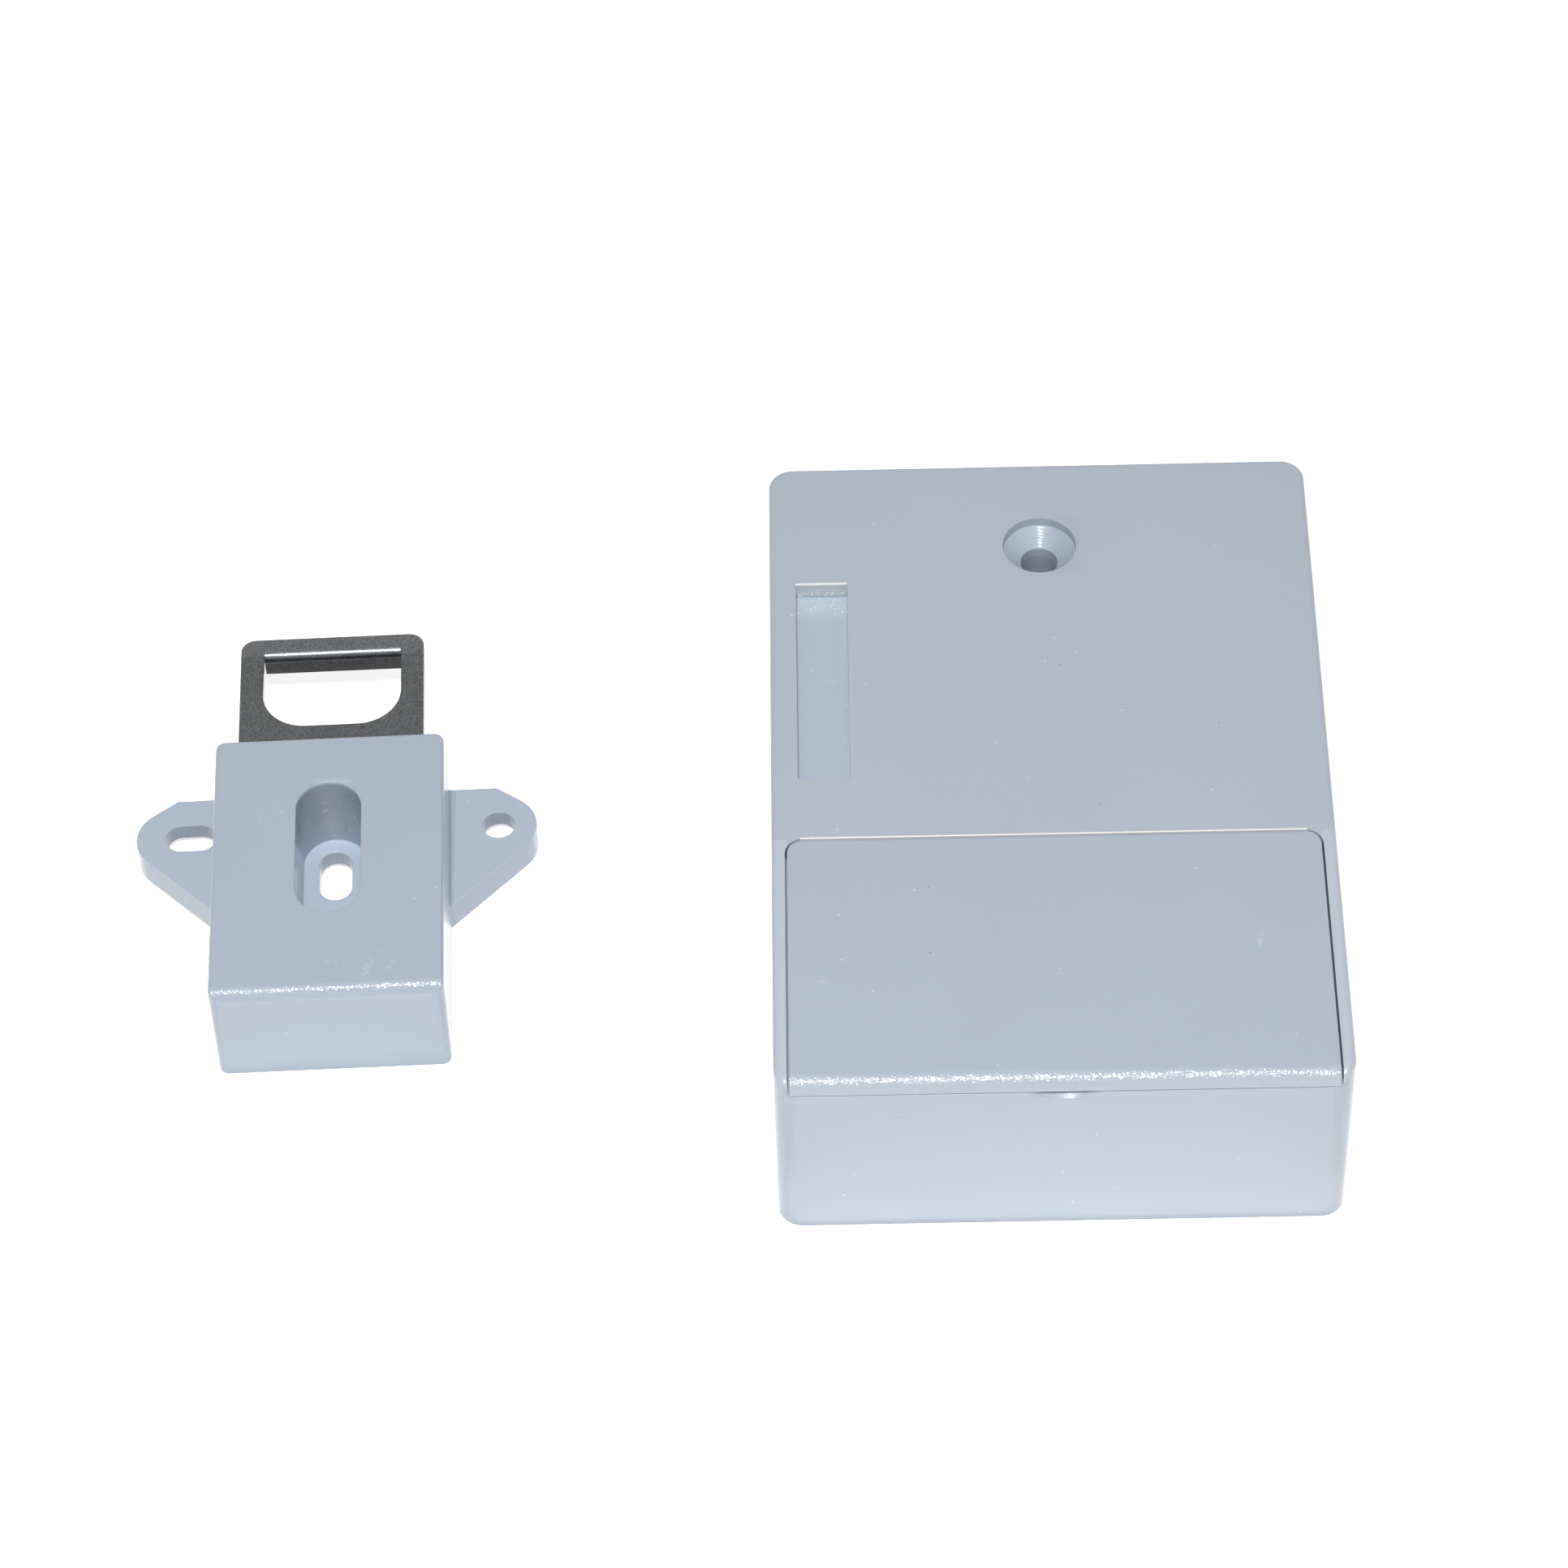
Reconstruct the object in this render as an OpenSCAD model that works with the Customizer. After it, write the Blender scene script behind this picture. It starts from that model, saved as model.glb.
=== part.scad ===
// Electronic cabinet lock: a battery lock body and its separate strike.
// Millimetres. The origin is the middle of the lock body's back face, +Z points out of the
// cabinet door that the lock is screwed to, and the battery door is at the -Y end.

/* [Lock body] */
// Width of the lock body
body_w = 68; // [66:1:80]
// Length of the lock body
body_l = 98; // [96:1:112]
// Height of the lock body
body_h = 28; // [28:0.5:32]
// Side wall thickness
wall = 2; // [1.8:0.1:2.4]
// Thickness of the face that the strike enters
roof_t = 2.3; // [2:0.1:2.6]
// Radius of the upright corners
corner_r = 3; // [2:0.5:5]
// Radius along the face's edges
edge_r = 0.8; // [0.4:0.1:1.2]
// Radius along the front edge, which the battery door wraps over
front_edge_r = 2; // [1.2:0.1:2]

/* [Back cover] */
// Thickness of the back cover
cover_t = 2; // [1.6:0.1:2.4]
// Gap round the back cover
cover_gap = 0.15; // [0.1:0.05:0.3]
// Diameter of the four screw bosses
cover_boss_d = 6.5; // [6:0.5:8]
// Diameter of a cover screw's shank
cover_screw_d = 2.6; // [2.2:0.1:3]
// Diameter of a cover screw's head
cover_head_d = 5; // [4.4:0.1:5.4]
// Height of a cover screw's head
cover_head_h = 1.4; // [1:0.1:1.6]
// Length of a cover screw under its head
cover_screw_l = 8; // [6:1:10]

/* [Mounting holes] */
// Diameter of a mounting hole
mount_d = 4.6; // [4:0.1:5]
// Diameter of the countersink's rim
sink_d = 9.2; // [8:0.1:9.6]
// Straight lip above the countersink in the face
sink_lip = 1.3; // [0.8:0.1:1.6]
// Height of the countersink's cone
sink_h = 1.9; // [1.5:0.1:2.3]
// Diameter of the column round a mounting hole
mount_boss_d = 10; // [10:0.5:11]
// Distance of the upper mounting hole from the lock's far end
mount_top_in = 14; // [12:0.5:15]
// Distance of each lower mounting hole from the centre line
mount_low_x = 17; // [15:0.5:17]

/* [Battery bay] */
// Width of the battery door
door_w = 64.2; // [60:0.1:64.2]
// Thickness of the battery door
door_t = 2; // [2:0.1:2.2]
// Length of the battery door from the lock's front
door_l = 36.9; // [36.6:0.1:37]
// Plan radius of the door's far corners
door_corner_r = 2; // [1:0.5:3]
// Seam at the door's sides
door_side_gap = 0.25; // [0.2:0.05:0.35]
// Seam at the door's far edge and under it
door_gap = 0.2; // [0.15:0.05:0.3]
// Diameter of a cell
cell_d = 10.5; // [10:0.1:10.5]
// Length of a cell with its button
cell_l = 44.5; // [44:0.1:44.5]
// Distance between cells
cell_pitch = 11; // [10.8:0.1:11]
// Thickness of the bay's floor
deck_t = 1.6; // [1.4:0.1:2]
// Length of a contact spring with its cell in
contact_spring_l = 4.4; // [3.6:0.1:4.6]

/* [Strike slot and ejector] */
// Width of the slot in the face
slot_w = 6.4; // [6:0.1:6.6]
// Length of the slot in the face
slot_l = 31.6; // [30:0.1:32]
// Distance of the slot's middle from the lock's side
slot_inset = 6.5; // [6.3:0.1:6.7]
// Distance from the battery door's edge to the slot's near end
slot_near = 9.65; // [9.3:0.05:9.8]
// Thickness of the ejector's plate
eject_t = 2; // [1.8:0.1:2.2]
// Gap between the ejector's plate and the face
eject_gap = 0.15; // [0.1:0.05:0.4]
// Travel of the ejector
eject_travel = 14; // [12:0.5:14]
// Outer diameter of an ejector spring
eject_spring_d = 4.6; // [4.2:0.1:4.8]

/* [Bolt and drive] */
// Width of the bolt
bolt_w = 12; // [10:0.5:12]
// Height of the bolt
bolt_h = 6; // [5:0.5:6]
// Length of the bolt
bolt_l = 16; // [15:0.5:17]
// Height of the bolt's lower face above the lock's back
bolt_z = 14.3; // [14.3:0.1:14.6]
// Travel of the bolt
bolt_travel = 8; // [7:0.5:8]
// Outer diameter of the bolt spring
bolt_spring_d = 5; // [4.4:0.1:5]
// Module of the pinion and rack
gear_module = 0.5; // [0.4:0.1:0.5]
// Number of teeth on the pinion
pinion_teeth = 16; // [14:2:20]
// Width of the motor and gearbox
motor_w = 12; // [10:0.5:12]
// Height of the motor and gearbox
motor_h = 10; // [9:0.5:10]
// Length of the motor can
motor_l = 15; // [12:0.5:15]
// Length of the gearbox
gearbox_l = 9; // [8:0.5:9]
// Diameter of the output shaft
shaft_d = 3; // [2.5:0.5:3]

/* [Circuit board] */
// Thickness of the circuit board
board_t = 1.6; // [1:0.2:1.6]
// Travel of the set button
button_travel = 0.5; // [0.3:0.1:0.6]
// Diameter of a lead with its insulation
lead_d = 1.2; // [0.8:0.1:1.4]

/* [Strike] */
// Width of the strike's housing
strike_w = 28.6; // [28:0.2:32]
// Length of the strike's housing
strike_l = 40.4; // [40:0.2:44]
// Height of the strike's housing
strike_h = 15.7; // [15:0.1:17]
// Wall thickness of the strike's housing
strike_wall = 2; // [1.6:0.1:2.2]
// Height of the ears' upper face
ear_h = 4.2; // [3.6:0.1:4.4]
// Thickness of the ears' web and of the pocket's floor
web_t = 2.4; // [2:0.1:2.6]
// Distance of each ear's centre from the middle line
ear_x = 20.5; // [20:0.5:22]
// Distance of the ears' centre line from the middle
ear_y = 14.1; // [13:0.1:15]
// Radius of an ear's tip
ear_r = 4.8; // [4.4:0.1:5.4]
// Diameter of the right ear's hole and width of the slots
strike_hole_d = 4.1; // [3.6:0.1:4.2]
// Length of the left ear's slot
ear_slot_l = 6.4; // [5:0.2:6.6]
// Width of the pocket
pocket_w = 8.1; // [8:0.1:9]
// Length of the pocket
pocket_l = 20.6; // [18:0.2:21]
// Length of the slot in the pocket's floor
floor_slot_l = 7.7; // [6:0.1:8]
// Distance of the strike's middle from the lock's middle, to the left
strike_off_x = 88.9; // [86:0.1:110]
// Distance of the strike's middle from the lock's middle, towards the front
strike_off_y = 4; // [0:0.1:6]
// Turn of the strike as it lies beside the lock
strike_turn = 1.8; // [0:0.1:4]

/* [Strike plate] */
// Width of the steel plate
plate_w = 23.3; // [22:0.1:23.4]
// Thickness of the steel plate
plate_t = 1.2; // [1:0.1:1.5]
// Length of plate outside the housing
plate_out = 18.1; // [16:0.1:20]
// Width of the bars round the opening
bar_w = 2.9; // [2.4:0.1:3.2]
// Length of the opening
loop_l = 11.75; // [10:0.05:13]
// Radius of the opening's near corners
loop_r = 5.5; // [4:0.1:6]
// Depth of the turned-down lip
lip_h = 3.4; // [2.8:0.1:4]
// Outer radius of the lip's bend
bend_r = 1.2; // [1.2:0.1:1.6]

/* [Hidden] */
$fn = 48;

plastic = [0.72, 0.77, 0.83];
cut = 1;              // how far a cut runs past the face it opens
fuse = 0.3;           // how far joined shapes of one piece run into each other
slide_gap = 0.3;      // clearance at faces that slide
seat_gap = 0.1;       // clearance at a piece laid in its seat
pilot_share = 0.8;    // a pilot hole's share of its screw's shank

// Lock body
inner_x = body_w / 2 - wall;
inner_y = body_l / 2 - wall;
roof_z = body_h - roof_t;
mount_top_y = body_l / 2 - mount_top_in;
door_edge_y = body_l / 2 - door_l;
notch_w = 9.8;        // finger notch in the front wall, its floor falling outwards
notch_h = 1.2;
notch_fall = 28;

// Back cover
cover_pad_d = 8;
cover_pad_h = 1.2;
cover_head_z = 1.6;
cover_boss_x = inner_x - cover_boss_d / 2 + fuse;
cover_boss_y = inner_y - cover_boss_d / 2 + fuse;
cover_pad_top = cover_t + cover_pad_h;
boss_hole_gap = 0.2;
spring_post_d = 2.8;
spring_post_h = 3.5;

// Battery bay
deck_z = 13.1;
deck_top = deck_z + deck_t;
cell_rest = 0.15;
cell_z = deck_top + cell_rest + cell_d / 2;
bay_wall = 1.5;
bay_far_t = 2.4;
bay_far_y = -(door_edge_y + bay_wall);
bay_y = (bay_far_y - inner_y) / 2;
ledge_w = 1.2;
contact_t = 0.4;
contact_w = 8.4;
contact_h = 9.6;
contact_dimple_h = 0.3;
contact_dimple_d = 3;
contact_x = (cell_l + contact_spring_l + contact_dimple_h + cell_rest) / 2;
bay_half_x = contact_x + contact_t + cell_rest;
tail_w = 3;
tail_drop = 1.9;
tail_slit = 0.25;
cell_button_d = 3.8;
cell_button_h = 0.9;
cell_ring_h = 1.2;
contact_wire = 0.6;

// Battery door
hook_x = 18;
hook_w = 8;
hook_out = 2.1;
hook_t = 1.3;
hook_drop = 2;
hook_neck = 1.4;
hook_gap = 0.45;
door_rib_h = 2;
door_rib_t = 1.1;
door_rib_w = 48;
door_rib_y = 0.7;     // front rib's distance behind the front wall
recess_w = door_w + 2 * door_side_gap;
recess_r = door_corner_r + door_gap;
door_z = body_h - door_t;
ledge_z = door_z - door_gap;

// Slot and ejector
slot_x = slot_inset - body_w / 2;
slot_y = slot_near + slot_l / 2 - door_edge_y;
shaft_rib = 1.3;
shaft_side = 0.35;
eject_lip = 1;
eject_w = slot_w + 2 * eject_lip;
eject_l = slot_l + 2 * eject_lip;
eject_top = roof_z - eject_gap;
eject_leg_l = 7;
eject_leg_w = slot_w - slide_gap;
eject_stop_gap = 0.4;
eject_leg_h = eject_top - eject_t - cover_t - eject_travel - eject_stop_gap;
eject_bore = eject_spring_d + 2 * slide_gap;
spring_y = slot_l / 2 - eject_leg_l / 2;
spring_tube = 0.5;
shaft_x = slot_x + eject_w / 2 + shaft_side;
shaft_half_l = eject_l / 2 + shaft_side;
shaft_rib_z = 4;

// Bolt and carriage
bolt_gap = 0.25;
bolt_floor_gap = 0.2;
bolt_tip_gap = 0.35;
bolt_tip_x = shaft_x + bolt_tip_gap;
bolt_tail_x = bolt_tip_x + bolt_l;
bolt_nose_h = 1.2;
bolt_pocket_d = bolt_spring_d + 2 * slide_gap;
bolt_pocket_l = 6;
lug_l = 2;
lug_w = 4.6;
lug_h = 2;
lug_in = 0.4;
carriage_floor_t = 2.2;
carriage_z = bolt_z - bolt_floor_gap - carriage_floor_t;
carriage_side = 1.5;
carriage_w = bolt_w + 2 * (bolt_gap + carriage_side);
carriage_front_x = shaft_x + shaft_rib + slide_gap + bolt_travel;
carriage_side_h = 4;
carriage_end_t = 2;
motor_gap = 3;
motor_side = 9;       // room for the clamp and the switch between the motor and the side wall
motor_x = inner_x - motor_side - motor_w / 2;
carriage_back_x = motor_x - motor_w / 2 - motor_gap;
carriage_end_x = carriage_back_x - carriage_end_t;
spring_room = carriage_end_x - bolt_tail_x;
bolt_mid_z = bolt_z + bolt_h / 2;
rack_w = 4.5;
pinion_w = 4;

// Motor and pinion
pinion_r = gear_module * pinion_teeth / 2;
gear_tip = 0.8 * gear_module;
gear_root = 1.3 * gear_module;
gear_pitch = PI * gear_module;
tooth_half_share = 0.2355;       // of the pitch, half a pinion tooth's width at its root
rack_half_share = 0.2118;        // of the pitch, half a rack tooth's width at the pitch line
tooth_tip_share = 0.45;          // of the root's width
gear_room = 3;
tooth_root_half = tooth_half_share * gear_pitch;
rack_root_z = carriage_z + carriage_floor_t - 2 * seat_gap;
rack_pitch_z = rack_root_z + gear_root;
motor_z = rack_pitch_z + pinion_r;
rack_end_x = motor_x + bolt_travel + pinion_r;
gearbox_gap = 2.65;
gearbox_y = slot_y + pinion_w / 2 + gearbox_gap;
motor_y = gearbox_y + gearbox_l;
shaft_in = 2.6;
shaft_fit = 0.02;
shaft_out = 0.75;
clamp_y = motor_y + motor_l / 2;
clamp_l = 6;
clamp_t = 1.2;
clamp_boss_d = 4.4;
clamp_side = 0.6;
clamp_reach = motor_w / 2 + clamp_boss_d / 2 + clamp_side;
small_screw_d = 2;
small_head_d = 3.8;
small_head_h = 1.3;
small_screw_l = 6;

// Mechanism plate
mech_t = 1.2;
mech_z = carriage_z - slide_gap - mech_t;
mech_boss_d = 5;
mech_boss_side = 1.2;
mech_boss_in = 1.5;
mech_reach = carriage_w / 2 + slide_gap + mech_boss_d / 2 + mech_boss_side;
mech_low_y = slot_y - mech_reach;
mech_high_y = slot_y + mech_reach;
mech_left_x = shaft_x + shaft_rib + mech_boss_d / 2 + mech_boss_in;
mech_right_x = motor_x + motor_w / 2 + gear_room;
mech_edge = 3;
guide_rib = 1.1;
guide_z_gap = 0.4;

// Circuit board
board_lift = 1.4;
board_side = 1.5;
board_column_gap = 1.3;
board_end_gap = 2;
board_z = cover_t + board_lift;
board_top = board_z + board_t;
board_x0 = shaft_x + shaft_rib + board_side;
board_x1 = inner_x - board_end_gap;
board_y0 = bay_y + mount_boss_d / 2 + board_column_gap;
board_y1 = mount_top_y - mount_boss_d / 2 - board_end_gap;
board_inset = 2.5;
standoff_d = 4.6;
antenna_t = 0.3;
antenna_inset = 6;
antenna_w = 3;
chip_h = 1;
buzzer_d = 9;
buzzer_h = 4;
capacitor_d = 6.3;
capacitor_h = 5.4;
connector_w = 6;
connector_l = 5;
connector_h = 4.5;
switch_w = 6;
switch_h = 3.5;
button_d = 3.4;
button_in = 0.9;
button_roof_gap = 0.4;
button_x = 6;
button_y = bay_y + cell_pitch;
button_hole_d = 3;
position_w = 6.4;
position_l = 5;
position_h = 5;

// Strike
strike_edge_r = 0.6;
strike_front_r = 1.5;
strike_corner_r = 1.2;
plate_gap = 0.15;
plate_sink = 0.3;
plate_top = strike_h - strike_wall + plate_sink;
strike_roof_z = plate_top + plate_gap;
plate_z = plate_top - plate_t;
pocket_y = 2.4;
pocket_wall = 1.2;
floor_slot_in = 1.9;
floor_slot_y = pocket_y + pocket_l / 2 - floor_slot_l / 2 - floor_slot_in;
ear_slot_x = 18.4;
skirt_t = 1.2;
ear_far_angle = 54;
ear_near_angle = 45;
stake_d = 3;
stake_head_d = 4.6;
stake_head_h = 1.3;
stake_x = 8.75;
stake_in = 2.7;
stake_far_y = strike_l / 2 - strike_wall - stake_in;
stake_near_y = -9;
plate_arm_y = -12.5;
plate_corner_r = 1.9;
arm_gap = 0.6;

// Plan shapes
module rounded_rect(w, l, r) {
    square([w - 2 * r, l], center = true);
    square([w, l - 2 * r], center = true);
    for (sx = [-1, 1], sy = [-1, 1])
        translate([sx * (w / 2 - r), sy * (l / 2 - r)]) circle(r);
}

module obround(l, w) {
    square([l - w, w], center = true);
    for (s = [-1, 1]) translate([s * (l - w) / 2, 0]) circle(d = w);
}

// A block whose upright corners have one radius and whose upper edges have another
module corner_post(h, rc, re) {
    rotate_extrude() {
        square([rc, h - re]);
        square([rc - re, h]);
        translate([rc - re, h - re]) intersection() {
            circle(re);
            square(re);
        }
    }
}

module edge_profile(w, h, re) {
    translate([-w / 2, 0]) square([w, h - re]);
    translate([-w / 2 + re, 0]) square([w - 2 * re, h]);
    for (s = [-1, 1]) translate([s * (w / 2 - re), h - re]) circle(re);
}

module soft_block(w, l, h, rc, re) {
    rotate([90, 0, 0]) linear_extrude(l - 2 * rc, center = true) edge_profile(w, h, re);
    rotate([90, 0, 90]) linear_extrude(w - 2 * rc, center = true) edge_profile(l, h, re);
    for (sx = [-1, 1], sy = [-1, 1])
        translate([sx * (w / 2 - rc), sy * (l / 2 - rc), 0]) corner_post(h, rc, re);
}

// Everything in front of the rounded front edge: cut away to leave a radius r
module front_edge_cut(w, l, h, r) {
    difference() {
        translate([-w / 2 - cut, -l / 2 - cut, h - r]) cube([w + 2 * cut, r + cut, r + cut]);
        translate([0, -l / 2 + r, h - r]) rotate([0, 90, 0]) cylinder(r = r, h = w + 4 * cut, center = true);
    }
}

module block_from(x0, x1, y0, y1, z0, z1) {
    translate([x0, y0, z0]) cube([x1 - x0, y1 - y0, z1 - z0]);
}

module pan_screw(head_d, head_h, shank_d, shank_l) {
    cylinder(d = head_d, h = head_h);
    cylinder(d = shank_d, h = head_h + shank_l);
}

module tube(outer_d, t, h) {
    difference() {
        cylinder(d = outer_d, h = h);
        translate([0, 0, -cut]) cylinder(d = outer_d - 2 * t, h = h + 2 * cut);
    }
}

// A lead laid along a list of points
module lead(points) {
    for (i = [0 : len(points) - 2]) hull() {
        translate(points[i]) sphere(d = lead_d, $fn = 8);
        translate(points[i + 1]) sphere(d = lead_d, $fn = 8);
    }
}

function mount_places() = [[0, mount_top_y], [-mount_low_x, bay_y], [mount_low_x, bay_y]];
function cover_screw_places() = [for (sx = [-1, 1], sy = [-1, 1]) [sx * cover_boss_x, sy * cover_boss_y]];
function mech_screw_places() = [for (x = [mech_left_x, mech_right_x], y = [mech_low_y, mech_high_y]) [x, y]];
function board_screw_places() = [for (x = [board_x0 + board_inset, board_x1 - board_inset],
    y = [board_y0 + board_inset, board_y1 - board_inset]) [x, y]];
function cell_places() = [for (i = [-1 : 1]) [bay_y + i * cell_pitch, i == 0 ? -1 : 1]];

// Lock body
module door_plan(w, r, edge_y, front_y) {
    l = front_y - edge_y;
    translate([-w / 2, -front_y]) square([w, l - r]);
    translate([-w / 2 + r, -front_y]) square([w - 2 * r, l]);
    for (s = [-1, 1]) translate([s * (w / 2 - r), -edge_y - r]) circle(r);
}

module housing_walls() {
    difference() {
        soft_block(body_w, body_l, body_h, corner_r, edge_r);
        front_edge_cut(body_w, body_l, body_h, front_edge_r);
        block_from(-inner_x, inner_x, -inner_y, inner_y, -cut, roof_z);
        block_from(-inner_x, inner_x, -inner_y, door_gap - door_edge_y, roof_z - cut, ledge_z);
        translate([0, 0, ledge_z]) linear_extrude(door_t + door_gap + cut)
            door_plan(recess_w, recess_r, door_edge_y - door_gap, body_l / 2 + cut);
    }
}

module bay_walls() {
    block_from(-inner_x - fuse, inner_x + fuse, -inner_y - fuse, -door_edge_y, deck_z, deck_top);
    for (s = [-1, 1]) mirror([s < 0 ? 1 : 0, 0, 0]) {
        block_from(bay_half_x, bay_half_x + bay_wall, -inner_y - fuse, bay_far_y + fuse, deck_top - fuse, ledge_z);
        block_from(inner_x - ledge_w, inner_x + fuse, -inner_y - fuse, bay_far_y + fuse, deck_top - fuse, ledge_z);
    }
    block_from(-inner_x - fuse, inner_x + fuse, bay_far_y, bay_far_y + bay_far_t, deck_z, ledge_z);
}

module shaft_ribs() {
    block_from(shaft_x, shaft_x + shaft_rib, slot_y - shaft_half_l - shaft_rib, slot_y + shaft_half_l + shaft_rib,
        shaft_rib_z, roof_z + fuse);
    for (s = [-1, 1]) translate([0, slot_y + s * (shaft_half_l + shaft_rib / 2), 0])
        block_from(-inner_x - fuse, shaft_x + fuse, -shaft_rib / 2, shaft_rib / 2, shaft_rib_z, roof_z + fuse);
}

// Ribs that hang from the face beside and above the carriage
module carriage_guides() {
    top_z = bolt_z + carriage_side_h + guide_z_gap;
    for (s = [-1, 1]) translate([0, slot_y, 0]) mirror([0, s < 0 ? 1 : 0, 0]) {
        block_from(shaft_x + shaft_rib - fuse, carriage_end_x, carriage_w / 2 + slide_gap,
            carriage_w / 2 + slide_gap + guide_rib, carriage_z + guide_z_gap, roof_z + fuse);
        block_from(shaft_x + shaft_rib - fuse, carriage_end_x, carriage_w / 2 - carriage_side,
            carriage_w / 2 + slide_gap + fuse, top_z, roof_z + fuse);
    }
}

module motor_cradle() {
    for (y = [gearbox_y + gearbox_l / 2, motor_y + motor_l * 2 / 3])
        block_from(motor_x - motor_w / 2, motor_x + motor_w / 2, y - guide_rib / 2, y + guide_rib / 2,
            motor_z + motor_h / 2, roof_z + fuse);
    for (s = [-1, 1]) translate([motor_x + s * clamp_reach, clamp_y, motor_z - motor_h / 2])
        cylinder(d = clamp_boss_d, h = roof_z + fuse - motor_z + motor_h / 2);
}

module housing_bosses() {
    translate([0, mount_top_y, 0]) cylinder(d = mount_boss_d, h = roof_z + fuse);
    for (s = [-1, 1]) translate([s * mount_low_x, bay_y, 0]) cylinder(d = mount_boss_d, h = deck_z + fuse);
    for (p = cover_screw_places()) translate([p[0], p[1], cover_pad_top])
        cylinder(d = cover_boss_d, h = (p[1] > 0 ? roof_z : deck_z) + fuse - cover_pad_top);
    for (p = mech_screw_places()) translate([p[0], p[1], mech_z + mech_t])
        cylinder(d = mech_boss_d, h = roof_z + fuse - mech_z - mech_t);
}

module countersink(z, lip) {
    translate([0, 0, z - lip]) cylinder(d = sink_d, h = lip + cut);
    translate([0, 0, z - lip - sink_h]) cylinder(d1 = mount_d, d2 = sink_d, h = sink_h);
    translate([0, 0, -cut]) cylinder(d = mount_d, h = z + cut - lip);
}

module screw_pilots() {
    for (p = cover_screw_places()) translate([p[0], p[1], 0])
        cylinder(d = cover_screw_d * pilot_share, h = cover_head_z + cover_screw_l + cut);
    for (p = mech_screw_places()) translate([p[0], p[1], 0])
        cylinder(d = small_screw_d * pilot_share, h = mech_z + small_screw_l + cut);
    for (s = [-1, 1]) translate([motor_x + s * clamp_reach, clamp_y, 0])
        cylinder(d = small_screw_d * pilot_share, h = motor_z - motor_h / 2 + small_screw_l);
}

module finger_notch() {
    r = (notch_w * notch_w / 4 + notch_h * notch_h) / (2 * notch_h);
    translate([0, -body_l / 2, ledge_z - notch_h]) rotate([90 + notch_fall, 0, 0])
        translate([0, r, -wall]) cylinder(r = r, h = wall + cut, $fn = 160);
}

module front_housing() {
    color(plastic) difference() {
        union() {
            housing_walls();
            bay_walls();
            shaft_ribs();
            carriage_guides();
            motor_cradle();
            housing_bosses();
        }
        translate([slot_x, slot_y, roof_z - cut]) translate([-slot_w / 2, -slot_l / 2, 0])
            cube([slot_w, slot_l, roof_t + 2 * cut]);
        translate([0, mount_top_y, 0]) countersink(body_h, sink_lip);
        for (s = [-1, 1]) translate([s * mount_low_x, bay_y, 0]) countersink(deck_top, 0);
        screw_pilots();
        finger_notch();
        block_from(shaft_x - cut, shaft_x + shaft_rib + cut, slot_y - bolt_w / 2 - slide_gap,
            slot_y + bolt_w / 2 + slide_gap, bolt_z - slide_gap, bolt_z + bolt_h + slide_gap);
        for (s = [-1, 1]) translate([s * hook_x, 0, 0]) {
            half = hook_w / 2 + slide_gap;
            notch_z = door_z - hook_drop - hook_t;
            block_from(-half, half, bay_far_y - cut, bay_far_y + bay_far_t + cut, notch_z, roof_z);
            block_from(-half, half, bay_far_y - cut, door_gap - door_edge_y, notch_z, ledge_z + cut);
        }
        translate([button_x, button_y, deck_z - cut]) cylinder(d = button_hole_d, h = deck_t + 2 * cut);
        for (t = [[-1, -1], [1, 1]]) block_from(t[0] * (contact_x + contact_t / 2) - contact_t / 2 - tail_slit,
            t[0] * (contact_x + contact_t / 2) + contact_t / 2 + tail_slit,
            bay_y + t[1] * cell_pitch - tail_w / 2 - tail_slit, bay_y + t[1] * cell_pitch + tail_w / 2 + tail_slit,
            deck_z - cut, deck_top + cut);
    }
}

module back_cover() {
    w = 2 * (inner_x - cover_gap);
    l = 2 * (inner_y - cover_gap);
    color(plastic) difference() {
        union() {
            translate([-w / 2, -l / 2, 0]) cube([w, l, cover_t]);
            for (p = cover_screw_places()) translate([p[0], p[1], 0]) intersection() {
                cylinder(d = cover_pad_d, h = cover_pad_top - seat_gap);
                translate([-p[0] - w / 2, -p[1] - l / 2, 0]) cube([w, l, cover_pad_top]);
            }
            for (p = board_screw_places()) translate([p[0], p[1], 0]) cylinder(d = standoff_d, h = board_z);
            for (s = [-1, 1]) translate([slot_x, slot_y + s * spring_y, 0])
                cylinder(d = spring_post_d, h = cover_t + spring_post_h);
        }
        for (p = mount_places()) translate([p[0], p[1], -cut])
            cylinder(d = mount_boss_d + 2 * boss_hole_gap, h = cover_t + 2 * cut);
        for (p = cover_screw_places()) translate([p[0], p[1], -cut]) {
            cylinder(d = cover_head_d + 2 * boss_hole_gap, h = cut + cover_head_z);
            cylinder(d = cover_screw_d + 2 * seat_gap, h = cover_pad_top + 2 * cut);
        }
        for (p = board_screw_places()) translate([p[0], p[1], cover_t / 2])
            cylinder(d = small_screw_d * pilot_share, h = board_z);
    }
}

module cover_screws() {
    color("silver") for (p = cover_screw_places()) translate([p[0], p[1], cover_head_z - cover_head_h])
        pan_screw(cover_head_d, cover_head_h, cover_screw_d * pilot_share, cover_screw_l);
}

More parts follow.
